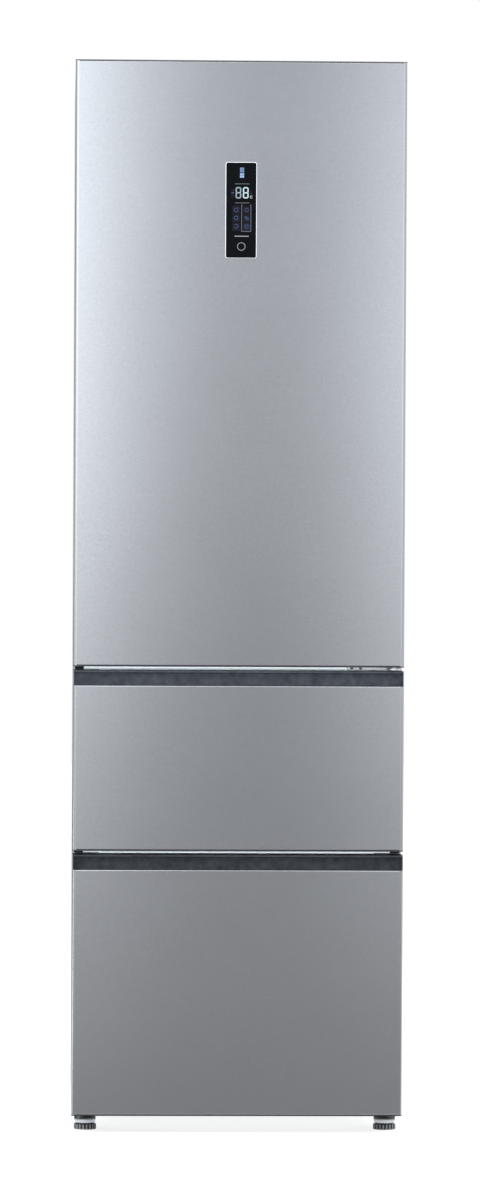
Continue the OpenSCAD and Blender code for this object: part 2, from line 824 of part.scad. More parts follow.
module evaporator() color("#c4c8ca") {
    for (i = [0 : fin_count - 1])
        translate([-evap_x + i * (2 * evap_x - fin_t) / (fin_count - 1), evap_y, step_z + evap_rise])
            cube([fin_t, cavity_back_y - evap_y, evap_h]);
    for (i = [0 : tube_rows - 1])
        translate([0, (evap_y + cavity_back_y) / 2, step_z + evap_rise])
            pipe(-evap_x - 10, evap_x + 10, evap_h * (i + 0.5) / tube_rows, tube_r);
}

module fan_motor() color("#3a3b3e") {
    translate([0, motor_back_y, fan_z]) rotate([90, 0, 0]) cylinder(r = motor_r, h = motor_h);
    translate([0, fan_y + fan_hub_h + 4, fan_z]) rotate([90, 0, 0])
        cylinder(r = motor_shaft_r, h = fan_hub_h + 1);
    block(-motor_arm_x, motor_back_y - 4, fan_z - motor_beam, motor_arm_x, motor_back_y, fan_z + motor_beam);
    both_sides()
        block(motor_arm_x - motor_arm, air_wall_y + air_wall_t, fan_z - motor_beam,
              motor_arm_x, motor_back_y, fan_z + motor_beam);
}

module fan_wheel() color("#f4f4f2") translate([0, fan_y, fan_z]) rotate([-90, 0, 0]) difference() {
    union() {
        cylinder(r = fan_hub_r, h = fan_hub_h);
        for (i = [0 : blade_count - 1])
            rotate([0, 0, i * 360 / blade_count]) intersection() {
                translate([fan_hub_r - 2, 0, fan_hub_h / 2]) rotate([blade_pitch, 0, 0])
                    translate([0, -blade_w / 2, -blade_t / 2])
                        cube([fan_d / 2 - fan_hub_r + 2, blade_w, blade_t]);
                cylinder(d = fan_d, h = fan_hub_h);
            }
    }
    translate([0, 0, -eps]) cylinder(r = motor_shaft_r + pin_play, h = fan_hub_h + 2 * eps);
}

// Slides: right-hand profiles in width and height, u counted inwards from the liner wall
module slide_channel(web0, lip, half_h, z) {
    rect2(cav_x - web0 - outer_web, z - half_h, cav_x - web0, z + half_h);
    for (s = [-1, 1])
        translate([cav_x - (lip + web0) / 2, z + s * (half_h - outer_web / 2)])
            square([lip - web0, outer_web], center = true);
}

module outer_slides() color("#bfc3c6") both_sides() for (z = [zone_slide_z, freezer_slide_z])
    along_depth(slide_y0, slide_y1) slide_channel(0, outer_lip, slide_h / 2, z);

module mid_slides(z) color("#cdd1d4") both_sides()
    along_depth(slide_y0, slide_y1) slide_channel(mid_in, outer_lip, slide_h / 2 - outer_web - slide_play, z);

module zone_mid_slides() mid_slides(zone_slide_z);

module freezer_mid_slides() mid_slides(freezer_slide_z);

module drawer_slides(z) color("#c5c9cc") {
    both_sides() {
        along_depth(door_back_y, inner_y1) {
            slide_channel(inner_in, inner_out, inner_h, z);
            rect2(cav_x - inner_out, z - inner_h, cav_x - inner_out + outer_web, z + inner_h);
            rect2(cav_x - inner_out - arm_t, z - inner_h, cav_x - inner_out, z + arm_top);
        }
        block(cav_x - inner_out - arm_foot, door_back_y, z - inner_h,
              cav_x - inner_out, door_back_y + arm_t, z + arm_top);
    }
    block(-cav_x + inner_out, inner_y1 - bar_in, z - bar_h / 2,
          cav_x - inner_out, inner_y1 - bar_in + arm_t, z + bar_h / 2);
}

module zone_drawer_slides() drawer_slides(zone_slide_z);

module freezer_drawer_slides() drawer_slides(freezer_slide_z);

// Outer or inner form of a moulded box: plan with round corners, round lower edges
module tub_form(half, y0, y1, z0, z1, r, edge) {
    intersection() {
        upright(z0, z1) round_rect2(-half, y0, half, y1, r);
        along_depth(y0, y1) tub_section(-half, half, z0, z1, edge);
        across(-half, half) tub_section(y0, y1, z0, z1, edge);
    }
}

// Section of a moulded box: straight sides, two round lower corners
module tub_section(u0, u1, z0, z1, edge) {
    rect2(u0, z0 + edge, u1, z1);
    rect2(u0 + edge, z0, u1 - edge, z1);
    for (u = [u0 + edge, u1 - edge])
        translate([u, z0 + edge]) circle(edge);
}

// Open moulded box
module tub(half, y0, y1, z0, z1, r, wall) {
    difference() {
        tub_form(half, y0, y1, z0, z1, r, tub_edge_r);
        tub_form(half - wall, y0 + wall, y1 - wall, z0 + wall, z1 + eps, r - wall, tub_edge_r - wall);
    }
}

// Open bin with a side flange that lies on the slide arms
module bin(z0, rim_z, y1) color("#dfe9ee") {
    difference() {
        tub(bin_x, bin_y0, y1, z0, rim_z, bin_r, bin_t);
        block(-bin_x / 2, bin_y0 - eps, rim_z - bin_dip, bin_x / 2, bin_y0 + bin_t + eps, rim_z + eps);
    }
    both_sides()
        block(bin_x - bin_t / 2, bin_y0 + bin_r, rim_z - bin_t, cav_x - inner_out, y1 - bin_r, rim_z);
}

module zone_bin() bin(zone_z0 + bin_floor_gap, zone_rim_z, zone_bin_y1);

module freezer_bin() bin(freezer_z0 + bin_floor_gap, freezer_rim_z, freezer_bin_y1);

module freezer_tray() color("#e3edf1")
    tub(tray_x, tray_y0, tray_y0 + tray_d, tray_z0, tray_z0 + tray_h, tray_r, bin_t);

module crisper() color("#dbe7ec") {
    difference() {
        tub(crisper_x, crisper_y0, crisper_y1, crisper_z0, crisper_z0 + crisper_h, crisper_r, tub_t);
        block(-dip_x, crisper_y0 - eps, crisper_z0 + crisper_h - dip_h,
              dip_x, crisper_y0 + tub_t + eps, crisper_z0 + crisper_h + eps);
    }
    // Curled lip under the dip of the front wall
    across(-dip_x, dip_x) intersection() {
        difference() {
            translate([crisper_y0, crisper_z0 + crisper_h - dip_h - lip_r]) circle(lip_r);
            translate([crisper_y0, crisper_z0 + crisper_h - dip_h - lip_r]) circle(lip_r - tub_t);
        }
        rect2(crisper_y0 - lip_r, crisper_z0 + crisper_h - dip_h - lip_r,
              crisper_y0, crisper_z0 + crisper_h - dip_h);
    }
}

// Fronts

// Bent sheet of a front: face, two sides and bent edges above and below, open behind
module front_sheet(z0, z1) {
    difference() {
        upright(z0, z1) front_plan(half_w, front_y, door_back_y, front_r);
        upright(z0 - eps, z1 + eps)
            front_plan(inside_w, front_y + sheet_t, door_back_y + eps, front_r - sheet_t);
        hem_room(z0, 1);
    }
    hem(z0, 1);
}

// Room of a bent edge at height z; the sheet lies above it with side 1, below it with side -1
module hem_room(z, side) {
    hem_block(hem_x, min(z - side * eps, z + side * hem_r), max(z - side * eps, z + side * hem_r));
}

// Space of a bent edge between two heights
module hem_block(half, z0, z1) {
    block(-half, front_y - eps, z0, half, front_y + hem_r + hem_l + hem_play, z1);
}

// Bent edge: a quarter bend of the sheet and its flat return, rooted in the sheet all round
module hem(z, side) {
    bend_z = z + side * hem_r;
    flat_z = z + side * sheet_t;
    root_z = bend_z + side * hem_lap;
    across(-hem_x - hem_lap, hem_x + hem_lap) {
        intersection() {
            difference() {
                translate([front_y + hem_r, bend_z]) circle(hem_r);
                translate([front_y + hem_r, bend_z]) circle(hem_r - sheet_t);
            }
            rect2(front_y, min(z, bend_z), front_y + hem_r, max(z, bend_z));
        }
        rect2(front_y, min(bend_z, root_z), front_y + sheet_t, max(bend_z, root_z));
        rect2(front_y + hem_r, min(z, flat_z), front_y + hem_r + hem_l, max(z, flat_z));
    }
}

// Plan of what fills a front inside its sheet
module core_plan(y1) {
    front_plan(inside_w, front_y + sheet_t, y1, front_r);
}

module display_opening(grow, y0, y1) {
    along_depth(y0, y1) round_rect2(-display_w / 2 - grow, display_z0 - grow,
                                    display_w / 2 + grow, display_z1 + grow, display_r + grow);
}

module door_skin() color("#a8aaad") difference() {
    union() {
        difference() {
            front_sheet(up_z + cap_edge, top_z - cap_edge);
            hem_room(top_z - cap_edge, -1);
        }
        hem(top_z - cap_edge, -1);
    }
    display_opening(0, front_y - eps, front_y + sheet_t + eps);
    hinge_pocket();
}

// Room in the top of the door for the fixed hinge arm
module hinge_pocket() {
    block(pin_x - arm_r - 2, pocket_y, hinge_pocket_z, half_w + eps, door_back_y + eps, top_z + eps);
}

module door_insulation() color("#e9dfae") difference() {
    upright(up_z + cap_edge + bottom_plug_h, top_plug_z) core_plan(door_back_y - liner_t);
    display_opening(0, front_y, front_y + sheet_t + glass_seat);
}

module door_liner() color("#f3f4f4") {
    block(-inside_w, door_back_y - liner_t, up_z + cap_edge + bottom_plug_h,
          inside_w, door_back_y, top_plug_z);
    along_depth(door_back_y - liner_t, door_back_y + dyke_d) difference() {
        round_rect2(-dyke_x, dyke_z0, dyke_x, dyke_z1, dyke_r);
        round_rect2(-rack_x, dyke_z0 + dyke_t, rack_x, dyke_z1 - dyke_t, rack_gap);
    }
    // Lugs that carry the door shelves
    both_sides() for (i = [0 : len(rack_h) - 1])
        block(rack_x - lug_w, door_back_y - liner_t / 2, rack_z(i) - lug_h,
              rack_x + eps, door_back_y + lug_d, rack_z(i));
}

module door_top_cap() color("#3c3d40") difference() {
    union() {
        upright(top_plug_z, top_z - cap_edge) core_plan(door_back_y);
        upright(top_z - cap_edge, top_z) front_plan(half_w, front_y, door_back_y, front_r);
    }
    hinge_pocket();
    hem_cut(top_z - cap_edge, -1);
    translate([pin_x, pin_y, hinge_pocket_z - pin_reach - 2])
        cylinder(r = pin_r + pin_play, h = pin_reach + 2 + eps);
}

// What a bent edge takes out of the moulding behind it
module hem_cut(z, side) {
    hem_block(hem_x + hem_lap + hem_play, min(z, z + side * hem_r), max(z, z + side * hem_r));
}

// Cap under a front
module bottom_cap(z) {
    difference() {
        upright(z + cap_edge, z + cap_edge + bottom_plug_h) core_plan(door_back_y);
        hem_cut(z + cap_edge, 1);
    }
    upright(z, z + cap_edge) front_plan(half_w, front_y, door_back_y, front_r);
}

module door_bottom_cap() color("#3c3d40") difference() {
    bottom_cap(up_z);
    translate([pin_x, pin_y, up_z - eps]) cylinder(r = pin_r + pin_play, h = pin_reach + eps);
}

module zone_bottom_cap() color("#3c3d40") bottom_cap(mid_z);

module freezer_bottom_cap() color("#3c3d40") bottom_cap(low_z);

// Magnetic seal: a foot in the liner, bellows and a wider head, as three rings
module seal(z0, z1) color("#55575b")
    for (ring = [[5, 0, 4], [3, 4, seal_gap - 5], [0, seal_gap - 5, seal_gap - 0.3]]) difference() {
        block(-seal_x + ring[0], door_back_y + ring[1], z0 + ring[0],
              seal_x - ring[0], door_back_y + ring[2], z1 - ring[0]);
        block(-seal_x + seal_w - ring[0], door_back_y + ring[1] - eps, z0 + seal_w - ring[0],
              seal_x - seal_w + ring[0], door_back_y + ring[2] + eps, z1 - seal_w + ring[0]);
    }

module door_seal() seal(up_z + seal_edge, top_z - seal_top_drop);

module zone_seal() seal(mid_z + seal_edge, mid_z + middle_front_h - seal_edge);

module freezer_seal() seal(low_z + seal_low_rise, low_z + lower_front_h - seal_edge);

module display_glass() color("#0c0d10")
    display_opening(0, front_y - display_t, front_y + sheet_t + glass_seat);

module door_racks() color("#e2ecf0") for (i = [0 : len(rack_h) - 1]) difference() {
    rack_form(0, rack_z(i), rack_h[i]);
    rack_form(tub_t, rack_z(i), rack_h[i]);
    block(-rack_x + 2 * tub_t, door_back_y - eps, rack_z(i) + rack_back_h,
          rack_x - 2 * tub_t, door_back_y + tub_t + eps, rack_z(i) + rack_h[i] + eps);
}

// Form of a door shelf drawn in by a wall: the front leans out and is round below
module rack_form(wall, z, h) {
    edge = tub_edge_r - wall;
    edge_y = rack_y - rack_draft - tub_edge_r;
    intersection() {
        upright(z + wall, z + h + wall)
            rack_plan(rack_x - wall, door_back_y + wall, rack_y - wall, rack_r - wall);
        across(-rack_x, rack_x) {
            polygon([
                [door_back_y + wall, z + wall],
                [edge_y, z + wall],
                [edge_y + edge, z + tub_edge_r],
                [rack_y - wall, z + h + wall],
                [door_back_y + wall, z + h + wall]
            ]);
            translate([edge_y, z + tub_edge_r]) circle(edge);
        }
    }
}

// Plan of a door shelf: round corners on the inner side
module rack_plan(half, y0, y1, r) {
    mirror([0, 1]) front_plan(half, -y1, -y0, r);
}

// Sheet of a drawer front: the face ends below the grip strip, the sides run on
module drawer_sheet(z, h) color("#a8aaad") {
    difference() {
        front_sheet(z + cap_edge, z + h);
        block(-half_w - eps, front_y - eps, z + h - grip_open,
              half_w + eps, front_y + sheet_t + grip_side, z + h + eps);
        hem_room(z + h - grip_open, -1);
    }
    hem(z + h - grip_open, -1);
}

module zone_skin() drawer_sheet(mid_z, middle_front_h);

module freezer_skin() drawer_sheet(low_z, lower_front_h);

module drawer_core(z, h) color("#e9dfae")
    upright(z + cap_edge + bottom_plug_h, z + h - grip_plug_h) core_plan(door_back_y - liner_t);

module zone_insulation() drawer_core(mid_z, middle_front_h);

module freezer_insulation() drawer_core(low_z, lower_front_h);

// Inner sheet of a drawer front with a raised panel
module drawer_liner(z, h) color("#f3f4f4") {
    block(-inside_w, door_back_y - liner_t, z + cap_edge + bottom_plug_h,
          inside_w, door_back_y, z + h - grip_plug_h);
    along_depth(door_back_y - liner_t / 2, door_back_y + panel_h)
        round_rect2(-inside_w + panel_in, z + panel_rise,
                    inside_w - panel_in, z + h - grip_plug_h - panel_drop, dyke_r);
}

module zone_front_liner() drawer_liner(mid_z, middle_front_h);

module freezer_front_liner() drawer_liner(low_z, lower_front_h);

// Dark grip moulding: a top edge, a hollow behind it and a channel behind the sheet
module grip(z1) color("#2c2d31") difference() {
    upright(z1 - grip_plug_h, z1) core_plan(door_back_y);
    upright(z1 - grip_open, z1 - grip_edge)
        rect2(-half_w - eps, front_y - eps, half_w + eps, front_y + sheet_t + grip_side - 1);
    across(-inside_w + grip_end, inside_w - grip_end) polygon([
        [front_y - eps, z1 - grip_edge],
        [front_y + grip_depth - 4, z1 - grip_edge],
        [front_y + grip_depth - 1, z1 - grip_edge - 3],
        [front_y + grip_depth, z1 - grip_edge - 8],
        [front_y + grip_depth, z1 - grip_open - grip_drop + 8],
        [front_y + grip_depth - 3, z1 - grip_open - grip_drop + 2],
        [front_y + grip_depth - 8, z1 - grip_open - grip_drop],
        [front_y + 9, z1 - grip_open - grip_drop],
        [front_y + 4, z1 - grip_open - grip_drop + 4],
        [front_y + 3, z1 - grip_open - grip_drop + 9],
        [front_y + 3, z1 - grip_open],
        [front_y - eps, z1 - grip_open]
    ]);
    hem_cut(z1 - grip_open, -1);
}

module zone_grip() grip(mid_z + middle_front_h);

module freezer_grip() grip(low_z + lower_front_h);

// Feet and rollers

// Levelling foot: a ribbed disc on a threaded stem
module levelling_foot() color("#2b2c2f") translate([foot_x, foot_y, 0]) {
    difference() {
        cylinder(d = foot_d, h = foot_disc_h);
        for (i = [0 : foot_ribs - 1])
            rotate([0, 0, i * 360 / foot_ribs]) translate([foot_d / 2 + 0.4, 0, foot_rim])
                cylinder(r = notch_r, h = foot_disc_h);
    }
    cylinder(d = stem_d, h = low_z - 1);
}

module left_foot() mirror([1, 0, 0]) levelling_foot();

module right_foot() levelling_foot();

module rear_rollers() color("#47494d") both_sides()
    translate([roller_x - roller_w / 2, roller_y, roller_d / 2]) rotate([0, 90, 0]) difference() {
        cylinder(d = roller_d, h = roller_w);
        translate([0, 0, -eps]) cylinder(r = axle_r + pin_play, h = roller_w + 2 * eps);
    }

cabinet_wrap();
insulation();
base_plate();
back_panel();
rear_spacers();
fridge_liner();
zone_liner();
freezer_liner();
cross_rails();
rail_end_blocks();
top_hinge();
hinge_cover();
middle_hinge();
foot_brackets();
machine_tray();
compressor();
condenser();
drain_pan();
rear_cover();
cord_gland();
duct_cover();
lamp_cover();
shelf_glass();
shelf_trims();
air_wall();
evaporator();
fan_motor();
outer_slides();
fan_wheel();
crisper();
door_skin();
door_insulation();
door_liner();
door_top_cap();
door_bottom_cap();
door_seal();
display_glass();
door_racks();
zone_skin();
zone_insulation();
zone_front_liner();
zone_grip();
zone_bottom_cap();
zone_seal();
zone_drawer_slides();
zone_bin();
zone_mid_slides();
freezer_skin();
freezer_insulation();
freezer_front_liner();
freezer_grip();
freezer_bottom_cap();
freezer_seal();
freezer_drawer_slides();
freezer_bin();
freezer_mid_slides();
freezer_tray();
left_foot();
right_foot();
rear_rollers();
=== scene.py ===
# %% [markdown]
# # A steel fridge freezer, dressed for its portrait
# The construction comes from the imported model: every sheet, cap, liner, slide and foot at its real size.
# This lesson gives those pieces their finishes, adds the small things that are best made as surfaces,
# such as seals, screws and the printed display, and lights the whole like a product photograph.

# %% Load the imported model
import math
import bpy
import numpy as np
from mathutils import Matrix, Vector


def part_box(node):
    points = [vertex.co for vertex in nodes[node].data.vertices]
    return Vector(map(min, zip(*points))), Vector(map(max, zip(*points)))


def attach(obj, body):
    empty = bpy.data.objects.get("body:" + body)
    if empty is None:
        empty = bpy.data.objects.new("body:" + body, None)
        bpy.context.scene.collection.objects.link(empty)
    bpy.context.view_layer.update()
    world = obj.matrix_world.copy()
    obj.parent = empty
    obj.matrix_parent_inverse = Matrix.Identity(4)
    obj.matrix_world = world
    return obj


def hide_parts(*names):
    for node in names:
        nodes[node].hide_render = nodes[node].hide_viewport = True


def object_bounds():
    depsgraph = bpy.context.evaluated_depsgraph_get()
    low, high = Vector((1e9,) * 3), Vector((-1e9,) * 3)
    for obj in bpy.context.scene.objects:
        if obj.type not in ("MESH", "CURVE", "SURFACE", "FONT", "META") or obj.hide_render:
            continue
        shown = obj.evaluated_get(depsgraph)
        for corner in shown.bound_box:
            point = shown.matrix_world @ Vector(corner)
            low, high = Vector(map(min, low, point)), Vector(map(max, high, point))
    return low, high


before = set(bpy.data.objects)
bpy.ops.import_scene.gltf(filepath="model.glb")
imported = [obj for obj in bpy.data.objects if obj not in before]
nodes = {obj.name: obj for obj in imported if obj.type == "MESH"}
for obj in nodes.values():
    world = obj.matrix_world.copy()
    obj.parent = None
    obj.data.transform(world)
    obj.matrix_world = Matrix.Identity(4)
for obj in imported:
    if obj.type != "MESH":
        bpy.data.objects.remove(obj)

MM = 0.001
cad_low, cad_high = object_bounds()
print("nodes", len(nodes), "height", round(cad_high.z, 4))

# %% [markdown]
# ## The camera
# A product photographer stands far back with a long lens, so that upright edges stay nearly parallel.
# The place, turn and lens below were worked out from the edges of the fronts in the picture: 9 m away,
# a little left of the middle, at waist height and with a slight roll.

# %% Camera
PICTURE = (480, 1196)
CAMERA_PLACE = (-0.316, -9.328, 1.086)
CAMERA_ANGLES = (-0.77, 2.02, 0.29)
camera_data = bpy.data.cameras.new("portrait_camera")
camera = bpy.data.objects.new("portrait_camera", camera_data)
bpy.context.scene.collection.objects.link(camera)
camera_data.sensor_width = 36.0
camera_data.lens = 151.1
camera_data.clip_end = 100.0
camera_pitch, camera_yaw, camera_roll = (math.radians(angle) for angle in CAMERA_ANGLES)
camera.matrix_world = (Matrix.Translation(CAMERA_PLACE) @ Matrix.Rotation(-camera_yaw, 4, "Z")
                       @ Matrix.Rotation(math.pi / 2 + camera_pitch, 4, "X")
                       @ Matrix.Rotation(camera_roll, 4, "Z"))
bpy.context.scene.camera = camera
bpy.context.scene.view_settings.view_transform = "Standard"
print("camera at", CAMERA_PLACE, "for a picture of", PICTURE)

# %% [markdown]
# ## Colours and shader nodes
# Colours are written as sRGB hex values, as a paint card gives them, and shaders want linear light.
# One function does that, and one more adds a node with its settings and its links, because a material
# is only a short list of such nodes.

# %% Helpers for materials
def linear(hex_colour):
    """sRGB to linear light: divide by 12.92 near black, else undo the 2.4 power of the sRGB curve."""
    value = np.array([int(hex_colour[i:i + 2], 16) for i in (1, 3, 5)]) / 255
    light = np.where(value <= 0.04045, value / 12.92, ((value + 0.055) / 1.055) ** 2.4)
    return (*[float(c) for c in light], 1.0)


def add(tree, kind, settings=None, links=None):
    """Add one node. Lower-case settings are its properties, others name or number an input socket."""
    node = tree.nodes.new("ShaderNode" + kind)
    for name, value in (settings or {}).items():
        if isinstance(name, str) and name[0].islower():
            setattr(node, name, value)
        else:
            node.inputs[name].default_value = value
    for name, (source, output) in (links or {}).items():
        tree.links.new(source.outputs[output], node.inputs[name])
    return node


def blank_material(name):
    """A material with nothing but its output."""
    material = bpy.data.materials.new(name)
    material.use_nodes = True
    material.node_tree.nodes.clear()
    return material, add(material.node_tree, "OutputMaterial")


def finish_of(name, colours, size_mm, roughness, bump_mm, detail=3.0, **sockets):
    """A finish whose colour and roughness wander between two values with a noise of a real grain size.

    The noise scale is the number of grains in a metre. The same noise lifts the surface by bump_mm.
    """
    material, output = blank_material(name)
    tree = material.node_tree
    place = add(tree, "TexCoord")
    noise = add(tree, "TexNoise", {"Scale": 1000 / size_mm, "Detail": detail}, {"Vector": (place, "Object")})
    mix = add(tree, "Mix", {"data_type": "RGBA", 6: linear(colours[0]), 7: linear(colours[1])},
              {0: (noise, "Fac")})
    rough = add(tree, "MapRange", {"To Min": roughness[0], "To Max": roughness[1]}, {"Value": (noise, "Fac")})
    bump = add(tree, "Bump", {"Strength": 0.5, "Distance": bump_mm * MM}, {"Height": (noise, "Fac")})
    shader = add(tree, "BsdfPrincipled", sockets,
                 {"Base Color": (mix, 2), "Roughness": (rough, 0), "Normal": (bump, 0)})
    tree.links.new(shader.outputs[0], output.inputs["Surface"])
    return material


def second_tone(material, hex_colour, measure, start, full):
    """Lay a second colour over a finish. Its share is none where a measure is at start, and all at full."""
    tree = material.node_tree
    shader = tree.nodes["Principled BSDF"]
    first = shader.inputs["Base Color"].links[0].from_node
    share = add(tree, "MapRange", {"From Min": start, "From Max": full}, {"Value": measure(tree)})
    both = add(tree, "Mix", {"data_type": "RGBA", 7: linear(hex_colour)}, {0: (share, 0), 6: (first, 2)})
    tree.links.new(both.outputs[2], shader.inputs["Base Color"])


def dress(material, *names):
    """Give CAD pieces a material in every slot they have."""
    for name in names:
        mesh = nodes[name].data
        mesh.materials.clear()
        mesh.materials.append(material)
    print(material.name, "on", len(names), "pieces")

# %% [markdown]
# ## Surfaces from arrays
# A new piece is a grid of points worked out all at once. A profile carried round a closed path gives a
# ring, such as a seal or a rim, and a profile turned about an axis gives a screw head. The points go into
# the mesh in one call, and the sign of the enclosed volume tells whether the faces look outwards.

# %% Helpers for meshes
def cells_of(grid, wrap_rows=False, wrap_columns=False):
    """Number the points of a grid row by row and give the four corners of each cell.

    Where a direction wraps, the first row or column comes once more after the last.
    """
    index = np.arange(grid.shape[0] * grid.shape[1]).reshape(grid.shape[:2])
    index = np.pad(index, ((0, int(wrap_rows)), (0, int(wrap_columns))), mode="wrap")
    return np.stack([index[:-1, :-1], index[:-1, 1:], index[1:, 1:], index[1:, :-1]], -1).reshape(-1, 4)


def mesh_from(name, points, quads):
    """Fill a new mesh at once: its points, then its corners, then where each face starts."""
    mesh = bpy.data.meshes.new(name)
    quads = np.asarray(quads, np.int32)
    mesh.vertices.add(len(points))
    mesh.vertices.foreach_set("co", np.ascontiguousarray(points, np.float32).ravel())
    mesh.loops.add(quads.size)
    mesh.loops.foreach_set("vertex_index", quads.ravel())
    mesh.polygons.add(len(quads))
    mesh.polygons.foreach_set("loop_start", np.arange(len(quads), dtype=np.int32) * quads.shape[1])
    mesh.update(calc_edges=True)
    mesh.validate()
    return mesh


def joined_mesh(name, parts):
    """One mesh from several (points, quads) pairs. Each pair's numbers go up by the points before it."""
    starts = np.cumsum([0] + [len(points) for points, quads in parts])
    return mesh_from(name, np.concatenate([points for points, quads in parts]),
                     np.concatenate([quads + start for (points, quads), start in zip(parts, starts)]))


def outward_faces(points, quads):
    """Turn the faces of a closed shape outwards, by the sign of its volume.

    The volume is a sixth of the sum over all triangles of a dot (b cross c).
    """
    a, b, c, d = (points[quads[:, k]] for k in range(4))
    volume = np.sum(a * np.cross(b, c)) + np.sum(a * np.cross(c, d))
    return quads if volume > 0 else quads[:, ::-1]


def ring_mesh(name, grid):
    """A closed ring: the grid wraps round in both directions."""
    points = grid.reshape(-1, 3)
    return mesh_from(name, points, outward_faces(points, cells_of(grid, True, True)))


def piece_of(name, mesh, material, body, sharp=35.0):
    """Link a finished mesh as an object that rides on a body and takes its finish from a slot."""
    mesh.materials.append(material)
    mesh.shade_smooth()
    mesh.set_sharp_from_angle(angle=math.radians(sharp))
    piece = bpy.data.objects.new(name, mesh)
    bpy.context.scene.collection.objects.link(piece)
    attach(piece, body)
    print(name, len(mesh.polygons), "faces")
    return piece

# %% [markdown]
# ## Studio: floor and white surroundings
# The picture has a plain white ground. A matt pale floor catches the soft shadow, and the world is
# white where the camera, a metal or a glass looks at it, and a quieter white where it only lights.

# %% Floor and world
FLOOR_HALF = 14.0
FLOOR_GLOW = 0.75
FLOOR_IN_MIRRORS = 0.75
QUIET_WORLD, WHITE_WORLD = 0.55, 1.0
floor_mesh = bpy.data.meshes.new("studio_floor")
floor_mesh.from_pydata([(-FLOOR_HALF, -FLOOR_HALF, 0), (FLOOR_HALF, -FLOOR_HALF, 0),
                        (FLOOR_HALF, FLOOR_HALF, 0), (-FLOOR_HALF, FLOOR_HALF, 0)], [], [(0, 1, 2, 3)])
studio_floor = bpy.data.objects.new("studio_floor", floor_mesh)
bpy.context.scene.collection.objects.link(studio_floor)

floor_material, floor_output = blank_material("matt_white_floor")
tree = floor_material.node_tree
ray = add(tree, "LightPath")
mirrored = add(tree, "Math", {"operation": "MULTIPLY", 1: FLOOR_IN_MIRRORS}, {0: (ray, "Is Glossy Ray")})
seen = add(tree, "Math", {"operation": "MAXIMUM"}, {0: (ray, "Is Camera Ray"), 1: (mirrored, 0)})
seen = add(tree, "Math", {"operation": "MAXIMUM"}, {0: (seen, 0), 1: (ray, "Is Transmission Ray")})
lift = add(tree, "Math", {"operation": "MULTIPLY", 1: FLOOR_GLOW}, {0: (seen, 0)})
matt = add(tree, "BsdfDiffuse", {"Color": linear("#D6D6D6")})
glow = add(tree, "Emission", {"Color": (1, 1, 1, 1)}, {"Strength": (lift, 0)})
both = add(tree, "AddShader", links={0: (matt, 0), 1: (glow, 0)})
tree.links.new(both.outputs[0], floor_output.inputs["Surface"])
floor_mesh.materials.append(floor_material)

world = bpy.data.worlds.new("white_studio")
bpy.context.scene.world = world
world.use_nodes = True
tree = world.node_tree
tree.nodes.clear()
ray = add(tree, "LightPath")
seen = add(tree, "Math", {"operation": "MAXIMUM"}, {0: (ray, "Is Camera Ray"), 1: (ray, "Is Glossy Ray")})
seen = add(tree, "Math", {"operation": "MAXIMUM"}, {0: (seen, 0), 1: (ray, "Is Transmission Ray")})
level = add(tree, "MapRange", {"To Min": QUIET_WORLD, "To Max": WHITE_WORLD}, {"Value": (seen, 0)})
sky = add(tree, "Background", {"Color": (1, 1, 1, 1)}, {"Strength": (level, 0)})
tree.links.new(sky.outputs[0], add(tree, "OutputWorld").inputs["Surface"])
print("floor", 2 * FLOOR_HALF, "m wide")

# %% [markdown]
# ## Studio: lamps
# Two large soft lamps light the fronts, one from each side, and a third lights the top. Little of their
# light gets into the narrow gaps between the fronts. So low lamps straight ahead stand in for it, and each
# shines only on the pieces it names: the rails and grips, the hinge plate, the cabinet's front edge.

# %% Lamps
def soft_lamp(name, place, target, width, height, power):
    """A rectangular lamp that faces its target: its own -Z axis is turned along target minus place."""
    data = bpy.data.lights.new(name, "AREA")
    data.shape, data.size, data.size_y, data.energy = "RECTANGLE", width, height, power
    lamp = bpy.data.objects.new(name, data)
    direction = (np.array(target) - np.array(place)).tolist()
    turned = Vector(direction).to_track_quat("-Z", "Y").to_matrix().to_4x4()
    lamp.matrix_world = Matrix.Translation(place) @ turned
    lamp.visible_camera = False
    lamp.visible_glossy = False
    bpy.context.scene.collection.objects.link(lamp)
    return lamp


soft_lamp("left_lamp", (-3.0, -3.4, 2.6), (0, 0, 1.0), width=1.6, height=2.2, power=120)
soft_lamp("right_lamp", (3.2, -3.0, 2.2), (0, 0, 1.0), width=1.6, height=2.2, power=70)
soft_lamp("top_lamp", (0, 0.4, 4.4), (0, 0, 0), width=2.5, height=2.5, power=32)
GAP_LAMP_PLACE, GAP_LAMP_TARGET = (-0.3, -5.0, 0.76), (0, 0, 0.72)


def gap_lamp(name, lit_names, power, mirrored=False):
    """A low lamp ahead of the gaps that lights only the named pieces. Metal may mirror it or not."""
    lamp = soft_lamp(name, GAP_LAMP_PLACE, GAP_LAMP_TARGET, width=1.2, height=0.5, power=power)
    lamp.visible_glossy = mirrored
    receivers = bpy.data.collections.new(name + "_receivers")
    for lit_name in lit_names:
        receivers.objects.link(nodes[lit_name])
    lamp.light_linking.receiver_collection = receivers


gap_lamp("gap_lamp", ["cross_rails", "zone_grip"], power=270)
gap_lamp("hinge_lamp", ["middle_hinge"], power=32, mirrored=True)
gap_lamp("flange_lamp", ["cabinet_wrap"], power=90)
gap_lamp("low_grip_lamp", ["freezer_grip"], power=130)
print("lamps", len(bpy.data.lights))

# %% [markdown]
# ## Studio: the screen in front
# What gives flat steel its look is what it mirrors. In the picture that is a bright wall at the left, a
# quiet middle, a softer light at the right and a darker floor. A screen in front of the fridge, bent up
# from the floor like a paper background, holds those tones, and only glossy rays see it. Each side's light
# is a spread across times a fade in height, and the quiet middle fades in height alone.

